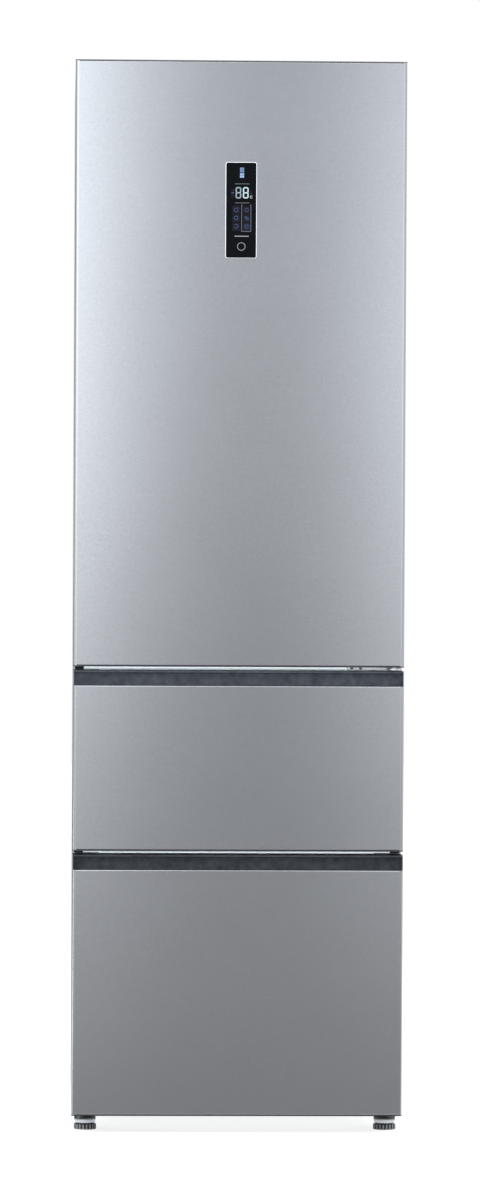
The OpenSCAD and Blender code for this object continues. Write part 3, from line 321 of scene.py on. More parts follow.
# %% Screen that the steel mirrors
SCREEN_AWAY, SCREEN_HALF, SCREEN_TOP, SCREEN_BEND = 1.5, 2.6, 3.6, 0.4
SCREEN_START, SCREEN_LIFT, SCREEN_COLUMNS = 0.05, 0.004, 9
LEFT_STRENGTH, RIGHT_STRENGTH = 2.6, 1.65
front_face = cad_low.y

floor_run = SCREEN_AWAY - SCREEN_BEND - SCREEN_START
turn = np.linspace(0, math.pi / 2, 12)[1:]
wall_run = floor_run + SCREEN_BEND
profile_y = np.concatenate([[0, floor_run], floor_run + SCREEN_BEND * np.sin(turn), [wall_run]])
profile_z = np.concatenate([[0, 0], SCREEN_BEND * (1 - np.cos(turn)), [SCREEN_TOP]]) + SCREEN_LIFT
screen_y = front_face - SCREEN_START - profile_y
screen_x = np.linspace(-SCREEN_HALF, SCREEN_HALF, SCREEN_COLUMNS)
screen_grid = np.stack(np.broadcast_arrays(screen_x, screen_y[:, None], profile_z[:, None]), -1)
screen_mesh = mesh_from("studio_screen", screen_grid.reshape(-1, 3), cells_of(screen_grid))
screen = bpy.data.objects.new("studio_screen", screen_mesh)
bpy.context.scene.collection.objects.link(screen)


def for_mirrors_only(stage_object):
    """Hide a stage object from all rays but glossy ones, so that it shows in metal and lights nothing."""
    stage_object.visible_camera = False
    stage_object.visible_diffuse = False
    stage_object.visible_transmission = False
    stage_object.visible_shadow = False
    stage_object.visible_volume_scatter = False


for_mirrors_only(screen)

screen_material, screen_output = blank_material("studio_screen_tones")
tree = screen_material.node_tree
place = add(tree, "SeparateXYZ", links={0: (add(tree, "TexCoord"), "Object")})
ACROSS, UPWARD = (-1.0, 1.0), (-0.4, 2.4)
FLOOR_SLOPE = 0.25
wall_y = screen_y[-1]
along_floor = add(tree, "Math", {"operation": "MULTIPLY_ADD", 1: -FLOOR_SLOPE, 2: FLOOR_SLOPE * wall_y},
                  {0: (place, "Y")})
height = add(tree, "Math", {"operation": "ADD"}, {0: (place, "Z"), 1: (along_floor, 0)})
across = add(tree, "MapRange", {"From Min": ACROSS[0], "From Max": ACROSS[1]}, {"Value": (place, "X")})
upward = add(tree, "MapRange", {"From Min": UPWARD[0], "From Max": UPWARD[1]}, {"Value": (height, 0)})


def tone_ramp(source, span, stops):
    """A smooth ramp whose stops are (place in metres, grey): place becomes (place - start) / length."""
    node = add(tree, "ValToRGB", links={0: (source, 0)})
    ramp = node.color_ramp
    ramp.interpolation = "CARDINAL"
    while len(ramp.elements) < len(stops):
        ramp.elements.new(0.5)
    for element, (position, grey) in zip(ramp.elements, stops):
        element.position = (position - span[0]) / (span[1] - span[0])
        element.color = (grey, grey, grey, 1)
    return node


def glow_of(sideways, upwards, strength):
    """One light patch on the screen: its spread across times its fade in height times a strength."""
    patch = add(tree, "Math", {"operation": "MULTIPLY"}, {0: (sideways, 0), 1: (upwards, 0)})
    return add(tree, "Math", {"operation": "MULTIPLY", 1: strength}, {0: (patch, 0)})


LEFT_TONES = [(-0.95, 0.6), (-0.68, 0.75), (-0.48, 0.88), (-0.29, 0.53),
              (-0.20, 0.26), (-0.10, 0.12), (0.03, 0.02), (0.12, 0.0)]
RIGHT_TONES = [(0.10, 0.0), (0.20, 0.06), (0.30, 0.22), (0.38, 0.45), (0.55, 0.8), (0.75, 1.0), (0.98, 0.35)]
LEFT_FADE = [(-0.35, 0.0), (0.0, 0.07), (0.35, 0.19), (0.75, 0.45), (1.10, 0.78), (1.60, 1.0), (2.10, 1.0)]
RIGHT_FADE = [(-0.35, 0.03), (0.0, 0.04), (0.35, 0.22), (0.75, 0.58), (1.10, 0.85), (1.60, 1.0), (2.10, 0.7)]
MIDDLE_FADE = [(-0.35, 0.36), (0.0, 0.43), (0.35, 0.47), (0.75, 0.49),
               (1.10, 0.60), (1.50, 0.70), (2.10, 0.73)]
left_tones, left_fade = tone_ramp(across, ACROSS, LEFT_TONES), tone_ramp(upward, UPWARD, LEFT_FADE)
right_tones, right_fade = tone_ramp(across, ACROSS, RIGHT_TONES), tone_ramp(upward, UPWARD, RIGHT_FADE)
left_glow = glow_of(left_tones, left_fade, LEFT_STRENGTH)
right_glow = glow_of(right_tones, right_fade, RIGHT_STRENGTH)
middle_glow = tone_ramp(upward, UPWARD, MIDDLE_FADE)
both_sides = add(tree, "Math", {"operation": "ADD"}, {0: (left_glow, 0), 1: (right_glow, 0)})
total = add(tree, "Math", {"operation": "ADD"}, {0: (both_sides, 0), 1: (middle_glow, 0)})
tint = add(tree, "Mix", {"data_type": "RGBA", 6: linear("#FBFBFF"), 7: linear("#F3F8FF")}, {0: (upward, 0)})
glow = add(tree, "Emission", links={"Color": (tint, 2), "Strength": (total, 0)})
tree.links.new(glow.outputs[0], screen_output.inputs["Surface"])
screen.data.materials.append(screen_material)
print("screen", len(screen.data.polygons), "faces")

# %% [markdown]
# ## Studio: cards beside and above
# Photographers hold cards next to bright metal, to draw its edges. A bright one above draws a line on
# every bent edge. Two grey ones at the left rear, called flags, draw the outline against the white ground:
# the door's side mirrors the upper one, the drawers' sides the lower one. A bright card low at the left
# front gives the lower drawer's edge its thin light line.

# %% Cards
def studio_card(name, corners, low_strength, high_strength):
    """A flat card for mirrors only. Its light goes evenly from one strength at its foot to one at its top."""
    mesh = bpy.data.meshes.new(name)
    mesh.from_pydata(corners, [], [(0, 1, 2, 3)])
    card = bpy.data.objects.new(name, mesh)
    bpy.context.scene.collection.objects.link(card)
    for_mirrors_only(card)
    material, output = blank_material(name + "_tone")
    tree = material.node_tree
    place = add(tree, "SeparateXYZ", links={0: (add(tree, "TexCoord"), "Object")})
    foot, top = np.array(corners)[[0, 2], 2]
    level = add(tree, "MapRange", {"From Min": foot, "From Max": top + MM,
                                   "To Min": low_strength, "To Max": high_strength}, {"Value": (place, "Z")})
    light = add(tree, "Emission", links={"Strength": (level, 0)})
    tree.links.new(light.outputs[0], output.inputs["Surface"])
    mesh.materials.append(material)
    print(name, "sends back", low_strength, "to", high_strength)


def facing_sideways(x, front, rear, foot, top):
    """The corners of an upright card that faces sideways, from its foot to its top."""
    return [(x, front, foot), (x, rear, foot), (x, rear, top), (x, front, top)]


CARD_FOOT = 0.005
CEILING_FRONT, CEILING_REAR = -1.8, -0.35
ceiling = [(-SCREEN_HALF, CEILING_FRONT, SCREEN_TOP), (SCREEN_HALF, CEILING_FRONT, SCREEN_TOP),
           (SCREEN_HALF, CEILING_REAR, SCREEN_TOP), (-SCREEN_HALF, CEILING_REAR, SCREEN_TOP)]
upper_flag = facing_sideways(x=-1.8, front=0.1, rear=3.0, foot=1.0, top=2.2)
lower_flag = facing_sideways(x=-1.8, front=0.1, rear=3.0, foot=CARD_FOOT, top=1.0)
edge_card = facing_sideways(x=-1.5, front=-0.85, rear=-0.4, foot=CARD_FOOT, top=0.75)
studio_card("top_card", ceiling, 2.6, 2.6)
studio_card("left_flag", upper_flag, 0.6, 0.2)
studio_card("low_left_flag", lower_flag, 0.1, 0.4)
studio_card("low_left_card", edge_card, 3.5, 0.2)

# %% [markdown]
# ## Brushed stainless steel
# The fronts are stainless sheet, brushed across and sealed against finger marks. Brushing leaves fine
# level lines, so light spreads up and down more than sideways. Lines are really 0.05 mm apart. They are
# drawn 0.6 mm apart here, so that a hint of them shows. The clear film is a little uneven, and that reads
# as a fine sandy grain, drawn 2.4 mm wide because its real grains are finer than a pixel.

# %% Brushed steel
LINE_MM, CLOUD_MM, SPECKLE_MM = 0.6, 160, 2.4
LINE_STRETCH = (0.016, 1.0, 1.0)
CLOUD_SHARE, SPECKLE_SHARE = 0.35, 0.6


def brushed_steel():
    """Level brush lines: a noise stretched 60 times along X, for colour, roughness and a slight bump.

    The colour is a mix of these lines, a wide cloud and the film's fine grain.
    """
    material, output = blank_material("brushed_stainless_steel")
    tree = material.node_tree
    place = add(tree, "TexCoord")
    lines_at = add(tree, "Mapping", {"Scale": LINE_STRETCH}, {"Vector": (place, "Object")})
    lines = add(tree, "TexNoise", {"Scale": 1000 / LINE_MM, "Detail": 4.0}, {"Vector": (lines_at, 0)})
    cloud = add(tree, "TexNoise", {"Scale": 1000 / CLOUD_MM, "Detail": 2.0}, {"Vector": (place, "Object")})
    speckle = add(tree, "TexNoise", {"Scale": 1000 / SPECKLE_MM, "Detail": 1.0},
                  {"Vector": (place, "Object")})
    grain = add(tree, "Mix", {"data_type": "FLOAT", 0: CLOUD_SHARE}, {2: (lines, "Fac"), 3: (cloud, "Fac")})
    sanded = add(tree, "Mix", {"data_type": "FLOAT", 0: SPECKLE_SHARE}, {2: (grain, 0), 3: (speckle, "Fac")})
    colour = add(tree, "Mix", {"data_type": "RGBA", 6: linear("#A8AAAC"), 7: linear("#BFC1C3")},
                 {0: (sanded, 0)})
    rough = add(tree, "MapRange", {"To Min": 0.22, "To Max": 0.28}, {"Value": (grain, 0)})
    bump = add(tree, "Bump", {"Strength": 0.25, "Distance": 0.02 * MM}, {"Height": (lines, "Fac")})
    tangent = add(tree, "Tangent", {"direction_type": "RADIAL", "axis": "Z"})
    shader = add(tree, "BsdfPrincipled", {"Metallic": 1.0, "Anisotropic": 0.6, "Anisotropic Rotation": 0.25},
                 {"Base Color": (colour, 2), "Roughness": (rough, 0),
                  "Normal": (bump, 0), "Tangent": (tangent, 0)})
    tree.links.new(shader.outputs[0], output.inputs["Surface"])
    return material


steel = brushed_steel()
dress(steel, "door_skin", "zone_skin", "freezer_skin")

# %% [markdown]
# ## Paint, zinc and plastics
# Everything else on a fridge is painted sheet, zinc-plated steel or a moulding. Each finish starts from
# what it really is. Moulded ABS and polystyrene have a soft gloss and an index near 1.5, and vacuum-formed
# liners wave a little over some centimetres. Sheet that was dipped in zinc keeps a frosty spangle.

# %% Finishes of the cabinet
cabinet_paint = finish_of("powder_coated_silver_sheet", ("#A9ACAF", "#B1B4B7"), 1.2, (0.38, 0.46),
                          bump_mm=0.03, Metallic=0.35)
zinc_sheet = finish_of("hot_dip_zinc_sheet", ("#A9ACAE", "#BBBEC0"), 9.0, (0.32, 0.45),
                       bump_mm=0.01, Metallic=0.9)
zinc_plate = finish_of("bright_zinc_plate", ("#C6CACE", "#D2D6DA"), 2.0, (0.16, 0.26),
                       bump_mm=0.01, Metallic=1.0)
# The dark olive upper half laid on this finish further down is painted shade and a painted dark reflection.
polished_zinc = finish_of("polished_zinc_cup_painted_shade", ("#C9CED4", "#D8DCE1"), 4.0, (0.08, 0.14),
                          bump_mm=0.01, Metallic=1.0)
rail_paint = finish_of("gloss_white_rail_paint", ("#DCE8F0", "#E4EEF5"), 3.0, (0.12, 0.2), bump_mm=0.01)
liner_plastic = finish_of("formed_white_polystyrene", ("#F0F2F3", "#F4F6F6"), 120.0, (0.26, 0.3),
                          bump_mm=0.008, detail=1.0)
white_abs = finish_of("moulded_white_abs", ("#EDEFF0", "#F2F4F4"), 1.5, (0.3, 0.4), bump_mm=0.02)
foam = finish_of("sprayed_polyurethane_foam", ("#E3D6A2", "#EFE4B8"), 4.0, (0.8, 0.95), bump_mm=0.4)
black_abs = finish_of("moulded_black_abs", ("#1B1C1F", "#242529"), 1.2, (0.42, 0.55), bump_mm=0.03)
compressor_paint = finish_of("baked_black_enamel", ("#101113", "#191A1D"), 6.0, (0.25, 0.4), bump_mm=0.05)
fin_aluminium = finish_of("rolled_aluminium_fins", ("#C3C7CA", "#D0D4D6"), 3.0, (0.3, 0.42),
                          bump_mm=0.01, Metallic=1.0)
dress(cabinet_paint, "cabinet_wrap")
dress(zinc_sheet, "base_plate", "back_panel", "machine_tray", "rear_cover")
dress(zinc_plate, "top_hinge", "middle_hinge", "outer_slides", "zone_mid_slides",
      "freezer_mid_slides", "zone_drawer_slides", "freezer_drawer_slides")
dress(polished_zinc, "foot_brackets")
dress(rail_paint, "cross_rails")
dress(liner_plastic, "fridge_liner", "zone_liner", "freezer_liner", "door_liner", "zone_front_liner",
      "freezer_front_liner")
dress(white_abs, "duct_cover", "air_wall", "hinge_cover", "drain_pan", "fan_wheel", "shelf_trims")
dress(foam, "insulation", "door_insulation", "zone_insulation", "freezer_insulation")
dress(black_abs, "rear_spacers", "rail_end_blocks", "cord_gland", "fan_motor")
dress(compressor_paint, "compressor", "condenser")
dress(fin_aluminium, "evaporator")

# %% [markdown]
# ## Grips, glass and clear bins
# What hands touch is darker and duller, and what shows the food is clear. Clear mouldings here let part of
# the light straight through, by their alpha, because real refraction in many thin walls takes long and
# comes out grainy. Their index still sets how brightly they mirror: 1.59 for polystyrene, 1.52 for glass.

# %% Finishes of the fronts and the inside
cap_plastic = finish_of("satin_dark_end_caps", ("#33343A", "#3C3D43"), 1.5, (0.35, 0.45), bump_mm=0.02)
top_cap_plastic = finish_of("satin_grey_top_cap", ("#5B5C62", "#66676D"), 1.5, (0.35, 0.45), bump_mm=0.02)
grip_plastic = finish_of("satin_grip_abs", ("#0E1013", "#40454D"), 11.0, (0.38, 0.55), bump_mm=0.05,
                         detail=2.0, **{"Specular IOR Level": 0.3})
seal_rubber = finish_of("soft_pvc_seal", ("#4A4B4F", "#56575B"), 2.5, (0.55, 0.7), bump_mm=0.05)
# The pale rib edges laid on this finish further down are a painted highlight.
foot_rubber = finish_of("ribbed_black_polyamide_painted_glints", ("#17181A", "#242528"), 1.0, (0.12, 0.2), bump_mm=0.04)
roller_plastic = finish_of("moulded_grey_polyamide", ("#36373B", "#45464A"), 1.0, (0.3, 0.4), bump_mm=0.04)
display_black = finish_of("black_backed_glass", ("#04070A", "#06090C"), 20.0, (0.04, 0.08), bump_mm=0.0,
                          **{"Specular IOR Level": 0.12})
clear_plastic = finish_of("clear_polystyrene", ("#E2EEF3", "#EAF3F6"), 40.0, (0.05, 0.1), bump_mm=0.02,
                          Alpha=0.42, IOR=1.59)
shelf_glass = finish_of("toughened_shelf_glass", ("#CDE6DD", "#D6EBE4"), 60.0, (0.02, 0.05), bump_mm=0.0,
                        Alpha=0.38, IOR=1.52)
lamp_plastic = finish_of("frosted_lamp_cover", ("#F6F7F4", "#FBFBF8"), 3.0, (0.4, 0.5), bump_mm=0.02,
                         **{"Emission Color": (1, 1, 0.97, 1), "Emission Strength": 0.35})
dress(top_cap_plastic, "door_top_cap")
dress(cap_plastic, "door_bottom_cap", "zone_bottom_cap", "freezer_bottom_cap")
dress(grip_plastic, "zone_grip", "freezer_grip")
dress(seal_rubber, "door_seal", "zone_seal", "freezer_seal")
dress(foot_rubber, "left_foot", "right_foot")
dress(roller_plastic, "rear_rollers")
dress(display_black, "display_glass")
dress(clear_plastic, "crisper", "door_racks", "zone_bin", "freezer_bin", "freezer_tray")
dress(shelf_glass, "shelf_glass")
dress(lamp_plastic, "lamp_cover")

# %% [markdown]
# ## Painted highlights and shade on the feet
# The ribs of a levelling foot get a pale colour on their outer edges: a painted highlight for the glints
# on the ribs. The notches between stay black. So the second colour starts at a distance from the screw's
# axis. The zinc cup above gets a dark olive colour on its upper half: painted shade for the shade and dark
# reflection under the fridge's bottom edge. Its lower half is bright. That one follows the height.

# %% Second colours of the feet
foot_low, foot_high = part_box("right_foot")
foot_axis = ((foot_low.x + foot_high.x) / 2, (foot_low.y + foot_high.y) / 2, 0.0)
foot_radius = (foot_high.x - foot_low.x) / 2
# The pale colour on the ribs' outer edges is a painted highlight for glints.
PAINTED_GLINT_STARTS, PAINTED_GLINT_FULL = 0.6 * MM, 0.1 * MM
# The cup's dark olive upper half is painted shade and a painted dark reflection of the fridge's underside.
PAINTED_SHADE_STARTS, PAINTED_SHADE_FULL = 16.5 * MM, 19.5 * MM


def height_above_floor(tree):
    """The Z of a point in the object's own frame."""
    return add(tree, "SeparateXYZ", links={0: (add(tree, "TexCoord"), "Object")}), "Z"


def reach_from_foot_axis(tree):
    """Distance from the nearer foot's axis: the root of (|x| - axis x) squared plus (y - axis y) squared."""
    place = add(tree, "SeparateXYZ", links={0: (add(tree, "TexCoord"), "Object")})
    side = add(tree, "Math", {"operation": "ABSOLUTE"}, {0: (place, "X")})
    flat = add(tree, "CombineXYZ", links={"X": (side, 0), "Y": (place, "Y")})
    return add(tree, "VectorMath", {"operation": "DISTANCE", 1: foot_axis}, {0: (flat, 0)}), "Value"


# Painted highlight: the ribs' outer edges are pale, standing in for the glints of light on them.
second_tone(foot_rubber, "#A4A6AB", reach_from_foot_axis, foot_radius - PAINTED_GLINT_STARTS, foot_radius - PAINTED_GLINT_FULL)
# Painted shade: the cup's upper half is dark olive, for the shade and dark reflection under the fridge.
second_tone(polished_zinc, "#4B514D", height_above_floor, PAINTED_SHADE_STARTS, PAINTED_SHADE_FULL)
print("foot radius", round(foot_radius, 4))

# %% [markdown]
# ## Rim of the display
# The display is a pane of black glass in a slim bright frame that lies on the steel. The frame is an
# extrusion mitred or bent to a rounded rectangle. Here a small profile is carried round that path, so its
# soft edge catches a line of light all round.

# %% Display rim
def rounded_path(half, low, high, radius, corner_steps=10):
    """Points and outward directions round a rectangle with round corners, in width and height.

    Each corner is a quarter circle: centre plus radius times (cos, sin) of the outward angle.
    """
    turn = np.linspace(0, math.pi / 2, corner_steps)
    centres = [(half - radius, high - radius), (radius - half, high - radius),
               (radius - half, low + radius), (half - radius, low + radius)]
    angles = np.concatenate([turn + k * math.pi / 2 for k in range(4)])
    outward = np.stack([np.cos(angles), np.sin(angles)], -1)
    return np.repeat(np.array(centres), corner_steps, 0) + radius * outward, outward


def framed(path, outward, profile):
    """Carry a profile of (outward offset, depth) pairs round a path that lies in a front's plane."""
    profile = np.array(profile)
    plane = path[:, None, :] + outward[:, None, :] * profile[None, :, :1]
    depth = np.broadcast_to(profile[None, :, 1], plane.shape[:2])
    return np.stack([plane[..., 0], depth, plane[..., 1]], -1)


glass_low, glass_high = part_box("display_glass")
steel_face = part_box("door_skin")[0].y
glass_face = glass_low.y
DISPLAY_RADIUS = 3 * MM
RIM_PROFILE = [(0.05, 0.3), (0.05, -0.66), (0.3, -0.8), (0.85, -0.8), (1.2, -0.62), (1.4, -0.3), (1.45, 0.3)]
rim_profile = [(offset * MM, steel_face + depth * MM) for offset, depth in RIM_PROFILE]
path, outward = rounded_path(glass_high.x, glass_low.z, glass_high.z, DISPLAY_RADIUS)
rim_metal = finish_of("satin_anodised_aluminium", ("#E3E6E9", "#EEF0F2"), 1.0, (0.28, 0.36),
                      bump_mm=0.004, Metallic=1.0)
rim_mesh = ring_mesh("display_rim", framed(path, outward, rim_profile))
piece_of("display_rim", rim_mesh, rim_metal, "upper_door")

# %% [markdown]
# ## Light signs under the glass
# Behind the glass, a printed film has windows that light-emitting diodes shine through: two bright digits,
# a picture of the fridge in two blocks, small rings for its programs and a ring for the button. They are
# flat shapes a hair in front of the glass here. Each is a small grid, so that no font or picture is needed.
# Their places are measured in pixels of the picture, from the middle and the top of the glass, and a pixel
# is 1.8 mm on the door.

# %% Shapes of the signs
PIXEL = 1.798 * MM
MIDDLE_PX, TOP_PX = 240.9, 163.3


def place_of(px, py):
    """From the picture's pixels to width and height on the glass."""
    return (px - MIDDLE_PX) * PIXEL, glass_high.z - (py - TOP_PX) * PIXEL


def bar(x0, y0, x1, y1):
    """A level or upright bar as one face, from corner to corner in picture pixels."""
    (left, top), (right, bottom) = place_of(x0, y0), place_of(x1, y1)
    return np.array([[(left, bottom), (right, bottom)], [(left, top), (right, top)]])


def ring(px, py, radius, width, start=0.0, end=360.0, points=33):
    """Part of a flat ring: centre plus radius times (cos, sin), for two radii and a range of angles."""
    x, z = place_of(px, py)
    angle = np.radians(np.linspace(start, end, points))[:, None]
    reach = np.array([radius + width / 2, radius - width / 2])[None, :] * PIXEL
    return np.stack([x + reach * np.cos(angle), z + reach * np.sin(angle)], -1)


def segment(px, py, length, width, upright, tip=0.08):
    """One lit segment of a digit: a bar whose ends narrow to a tip over half its width."""
    x, z = place_of(px, py)
    along = np.array([-0.5, -0.5 + width / length / 2, 0.5 - width / length / 2, 0.5]) * length * PIXEL
    half = np.array([tip, 0.5, 0.5, tip]) * width * PIXEL
    rows = np.stack([np.stack([along, -half], -1), np.stack([along, half], -1)], 1)
    rows = rows[..., ::-1] * (-1, 1) if upright else rows
    return rows + (x, z)


def flat_piece(name, grids, material, lift_mm=0.02):
    """Join flat grids on the glass into one piece whose faces look out of the front.

    The sign of the cross product of a cell's first two sides tells which way it looks.
    """
    parts = []
    for grid in grids:
        cells = cells_of(grid)
        flat = grid.reshape(-1, 2)
        a, b, c = flat[cells[0, :3]]
        clockwise = (b - a)[0] * (c - b)[1] - (b - a)[1] * (c - b)[0] < 0
        points = np.stack([flat[:, 0], np.full(len(flat), glass_face - lift_mm * MM), flat[:, 1]], -1)
        parts.append((points, cells[:, ::-1] if clockwise else cells))
    return piece_of(name, joined_mesh(name, parts), material, "upper_door")


def lit_sign(name, colour, strength):
    """A window in black print with a lamp behind it: a black surface that is seen by its own light."""
    light = {"Emission Color": linear(colour), "Emission Strength": strength, "Specular IOR Level": 0.1}
    return finish_of(name, ("#050608", "#050608"), 2.0, (0.2, 0.3), bump_mm=0.0, **light)


def digit_eight(left, right, top, bottom, width):
    """All seven segments of a digit between four edges in picture pixels, with a slit at each joint."""
    centre, middle, inset, slit = (left + right) / 2, (top + bottom) / 2, width / 2, width * 0.1
    across, down = right - left - width - slit, (bottom - top - width) / 2 - slit
    quarter = (bottom - top - width) / 4
    level = [segment(centre, y, across, width, False) for y in (top + inset, middle, bottom - inset)]
    sides = [segment(x, middle + side * quarter, down, width, True)
             for x in (left + inset, right - inset) for side in (-1, 1)]
    return level + sides


def window(px, py, width, height):
    """An unlit window in the print, a little lighter than the black round it, about a centre."""
    return bar(px - width / 2, py - height / 2, px + width / 2, py + height / 2)


DIGIT_TOP, DIGIT_BOTTOM = 187.5, 198.9
tens = digit_eight(235.3, 240.9, DIGIT_TOP, DIGIT_BOTTOM, 1.25)
units = digit_eight(242.5, 248.3, DIGIT_TOP, DIGIT_BOTTOM, 1.35)
flat_piece("display_units", units, lit_sign("bright_lit_digit", "#CFE8F0", 1.0))
flat_piece("display_tens", tens, lit_sign("dimmer_lit_digit", "#A3B8C4", 1.0))
fridge_sign_low = [bar(239.6, 173.8, 241.5, 175.9), bar(241.8, 173.8, 243.6, 175.9),
                   bar(239.6, 176.2, 241.5, 178.2), bar(241.8, 176.2, 243.6, 178.2)]
fridge_sign_high = [bar(239.6, 168.1, 241.5, 170.4), bar(241.8, 168.1, 243.6, 170.4),
                    bar(239.6, 170.7, 241.5, 172.9), bar(241.8, 170.7, 243.6, 172.9)]
flat_piece("display_fridge_sign", fridge_sign_low, lit_sign("light_blue_lit_sign", "#ABC9F3", 1.0))
flat_piece("display_upper_sign", fridge_sign_high, lit_sign("slate_blue_lit_sign", "#7D9CC6", 1.0))

# %% [markdown]
# ## Windows, rings and lines round the digits
# Behind dark glass, even the windows that aren't lit show a little, as a violet grey. On them lie two
# columns of small rings, one for each program. Thin printed lines box them in, and a ring marks the button.

# %% Rings, marks and lines
unlit = [window(235.9, y, 7.6, 8.0) for y in (210.0, 218.6, 227.3)]
unlit += [window(246.0, y, 7.4, 8.0) for y in (210.6, 219.0, 227.4)]
unlit += [window(232.6, y, 3.2, 2.4) for y in (190.6, 196.4)] + [window(250.6, 193.4, 3.0, 3.6)]
flat_piece("display_windows", unlit, lit_sign("unlit_violet_windows", "#1D1B27", 1.0), 0.01)
left_column = [ring(235.9, y, 1.9, 0.7, start, start + 300)
               for y, start in ((210.4, 80), (218.3, 60), (226.5, 200))]
right_column = [ring(246.4, 210.3, 1.7, 0.6), ring(245.6, 217.8, 0.9, 0.7), ring(247.2, 219.2, 1.1, 0.7),
                ring(246.4, 226.8, 2.4, 0.5), ring(246.4, 226.8, 0.9, 0.5)]
dots = [ring(237.3, y, 0.35, 0.7) for y in (208.6, 216.9)] + [bar(231.0, 192.6, 233.7, 194.0)]
flat_piece("display_program_rings", left_column + right_column + dots,
           lit_sign("dim_blue_lit_rings", "#46587A", 1.0))
box_lines = [bar(241.1, 205.2, 241.6, 231.8), bar(250.4, 205.2, 250.9, 231.8),
             bar(241.1, 231.4, 250.9, 231.9),
             bar(241.1, 205.2, 242.4, 205.7), bar(249.6, 205.2, 250.9, 205.7)]
long_lines = [bar(234.6, 203.0, 248.9, 203.5), bar(234.6, 184.1, 248.9, 184.6)]
flat_piece("display_lines", box_lines + long_lines, lit_sign("grey_printed_lines", "#85868F", 1.0))
button_marks = [ring(241.2, 246.7, 3.8, 0.45), bar(234.4, 236.1, 248.6, 236.8),
                ring(251.0, 197.4, 1.1, 0.7, 40, 320)]
flat_piece("display_button_ring", button_marks, lit_sign("pale_printed_ring", "#BFC1C6", 1.0))

# %% [markdown]
# ## Magnetic seals
# A fridge seal is an extruded PVC profile: a foot that snaps into the liner, thin bellows and a head that
# hides a magnet. It is cut at 45 degrees and welded at the corners. So one profile goes round a rectangle
# with mitred corners, where every corner point moves along the diagonal.

# %% Seals
SEAL_PROFILE = [(5.4, 0.0), (5.0, 2.6), (3.2, 4.6), (3.4, 5.6), (5.6, 7.2), (5.2, 8.6), (1.4, 9.2),
                (0.3, 10.2), (0.0, 12.6), (0.8, 13.6), (2.4, 13.7), (15.6, 13.7), (17.2, 13.6), (18.0, 12.6),
                (17.7, 10.2), (16.6, 9.2), (12.8, 8.6), (12.4, 7.2), (14.6, 5.6), (14.8, 4.6), (13.0, 2.6),
                (12.6, 0.0)]


def seal_piece(node, body):
    """The seal's profile round the node's own rectangle: inward offset and depth from the front's liner."""
    low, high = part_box(node)
    corners = np.array([(low.x, low.z), (high.x, low.z), (high.x, high.z), (low.x, high.z)])
    inward = np.array([(1, 1), (-1, 1), (-1, -1), (1, -1)])
    grid = framed(corners, inward, [(u * MM, low.y + v * MM) for u, v in SEAL_PROFILE])
    name = node + "_profile"
    piece = piece_of(name, ring_mesh(name, grid), seal_rubber, body, sharp=50.0)
    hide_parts(node)


seal_piece("door_seal", "upper_door")
seal_piece("zone_seal", "middle_drawer")
seal_piece("freezer_seal", "lower_drawer")

# %% [markdown]
# ## Ends of the rails
# The pale paint of each rail goes on over the cabinet's front, to the dark block at the corner. On the real
# thing that end is a pressed sheet, folded to the rail's own flat bead. A short extrusion of the bead's
# four-sided section does the same, closed by a face at both ends.

# %% Rail ends
BEAD_PROUD, BEAD_HALF, END_BLOCK_WIDTH = 0.8 * MM, 4.0 * MM, 16 * MM
rail_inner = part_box("cross_rails")[0].x
block_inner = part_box("rail_end_blocks")[0].x + END_BLOCK_WIDTH
cabinet_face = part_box("cabinet_wrap")[0].y
upper_gap = (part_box("door_skin")[0].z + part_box("zone_grip")[1].z) / 2
lower_gap = (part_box("zone_skin")[0].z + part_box("freezer_grip")[1].z) / 2


def rail_end(name, height, start, end):
    """The bead's section, a low trapezium, carried from start to end in width, with a face on each end."""
    section = [(0, -BEAD_HALF), (-BEAD_PROUD, -BEAD_HALF / 2), (-BEAD_PROUD, BEAD_HALF / 2), (0, BEAD_HALF)]
    points = np.array([(x, cabinet_face + y, height + z) for x in (start, end) for y, z in section])
    sides = [(k, (k + 1) % 4, (k + 1) % 4 + 4, k + 4) for k in range(4)]
    quads = outward_faces(points, np.array(sides + [(3, 2, 1, 0), (4, 5, 6, 7)]))
    piece = piece_of(name, mesh_from(name, points, quads), rail_paint, "cabinet", sharp=30.0)
    bpy.data.collections["gap_lamp_receivers"].objects.link(piece)


rail_end("upper_rail_end", upper_gap, block_inner, rail_inner)
rail_end("lower_left_rail_end", lower_gap, block_inner, rail_inner)
rail_end("lower_right_rail_end", lower_gap, -rail_inner, -block_inner)

# %% [markdown]
# ## Screws
# Sheet-metal screws hold the rear sheets, and two smaller ones hold the hinge plate that shows in the gap.
# A head is a dome, pressed in the middle with a cross. That is a height over radius and angle: the dome
# falls towards the rim, and the cross is lowered where a point is near one arm.

# %% Screw heads
HEAD_RINGS = [0, 0.2, 0.4, 0.6, 0.9, 1.2, 1.5, 1.8, 2.05, 2.2, 2.6, 3.1, 3.5, 3.75, 3.9, 3.9]
HEAD_RADIUS, HEAD_HEIGHT, DOME_FALL, SUNK = 3.9 * MM, 1.9 * MM, 0.75, 0.1 * MM
CROSS_ARM, CROSS_WIDTH, CROSS_DEPTH = 2.1 * MM, 0.45 * MM, 1.1 * MM


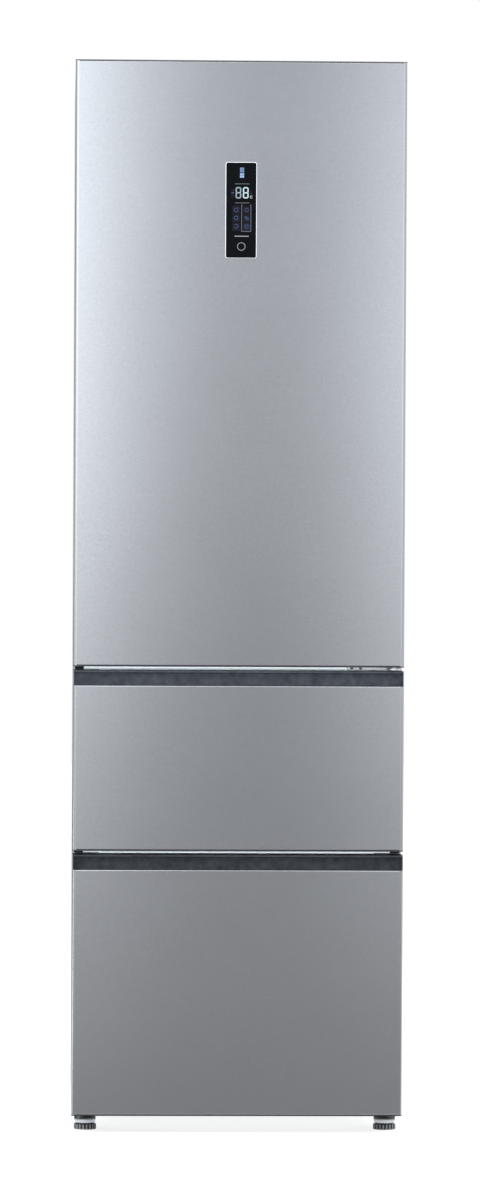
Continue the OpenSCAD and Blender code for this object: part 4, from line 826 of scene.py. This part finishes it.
def screw_head(centre, facing, scale=1.0):
    """Height = H (1 - 0.75 (r/R)^4), less the cross's depth where |x| or |y| is small near the middle.

    The last ring has the rim's radius again and lies a little below the sheet, so that no slit is seen.
    """
    radius = np.array(HEAD_RINGS) * MM
    angle = np.linspace(0, 2 * math.pi, 49)[:-1]
    r, a = np.meshgrid(radius, angle, indexing="ij")
    x, y = r * np.cos(a), r * np.sin(a)
    cross = (np.minimum(np.abs(x), np.abs(y)) < CROSS_WIDTH) & (r < CROSS_ARM)
    height = HEAD_HEIGHT * (1 - (r / HEAD_RADIUS) ** 4 * DOME_FALL) - CROSS_DEPTH * cross
    height[-1] = -SUNK
    return np.stack([x, facing * height, y], -1) * scale + np.array(centre)


def screws_piece(name, heads, body, material):
    """Join screw heads into one piece. Each grid wraps round its angle, and its faces look as facing says."""
    parts = []
    for grid, facing in heads:
        cells = cells_of(grid, wrap_columns=True)
        parts.append((grid.reshape(-1, 3), cells[:, [0, 3, 2, 1]] if facing < 0 else cells[:, [1, 2, 3, 0]]))
    return piece_of(name, joined_mesh(name, parts), material, body, sharp=40.0)


EDGE, COVER_INSET, BELOW_TOP, ABOVE_FOOT = 9 * MM, 20 * MM, 50 * MM, 30 * MM
HINGE_PLATE, HINGE_SCREW_SCALE, HINGE_SCREW_STEPS = 3 * MM, 0.8, (9 * MM, 25 * MM)
rear_low, rear_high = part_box("back_panel")
cover_low, cover_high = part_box("rear_cover")
sheet_heights = np.linspace(rear_low.z + ABOVE_FOOT, rear_high.z - BELOW_TOP, 6)
cover_heights = (cover_low.z + COVER_INSET, cover_high.z - COVER_INSET)
rear_spots = [(side * (rear_high.x - EDGE), z) for side in (-1, 1) for z in sheet_heights]
rear_spots += [(x * MM, rear_high.z - EDGE) for x in (-190, 0, 190)]
rear_spots += [(side * (cover_high.x - EDGE), z) for side in (-1, 1) for z in cover_heights]
rear_spots += [(x * MM, cover_high.z - EDGE) for x in (-110, 110)]
rear_heads = [(screw_head((x, rear_high.y, z), 1), 1) for x, z in rear_spots]
screws_piece("rear_screws", rear_heads, "cabinet", zinc_plate)
hinge_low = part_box("middle_hinge")[0]
hinge_face = cabinet_face - HINGE_PLATE
hinge_heads = [(screw_head((hinge_low.x + step, hinge_face, upper_gap), -1, HINGE_SCREW_SCALE), -1)
               for step in HINGE_SCREW_STEPS]
screws_piece("hinge_screws", hinge_heads, "cabinet", zinc_plate)

# %% [markdown]
# ## The end
# The box of the construction is printed.

# %% Sizes
print("cad box", [round(v, 4) for v in (*cad_low, *cad_high)])
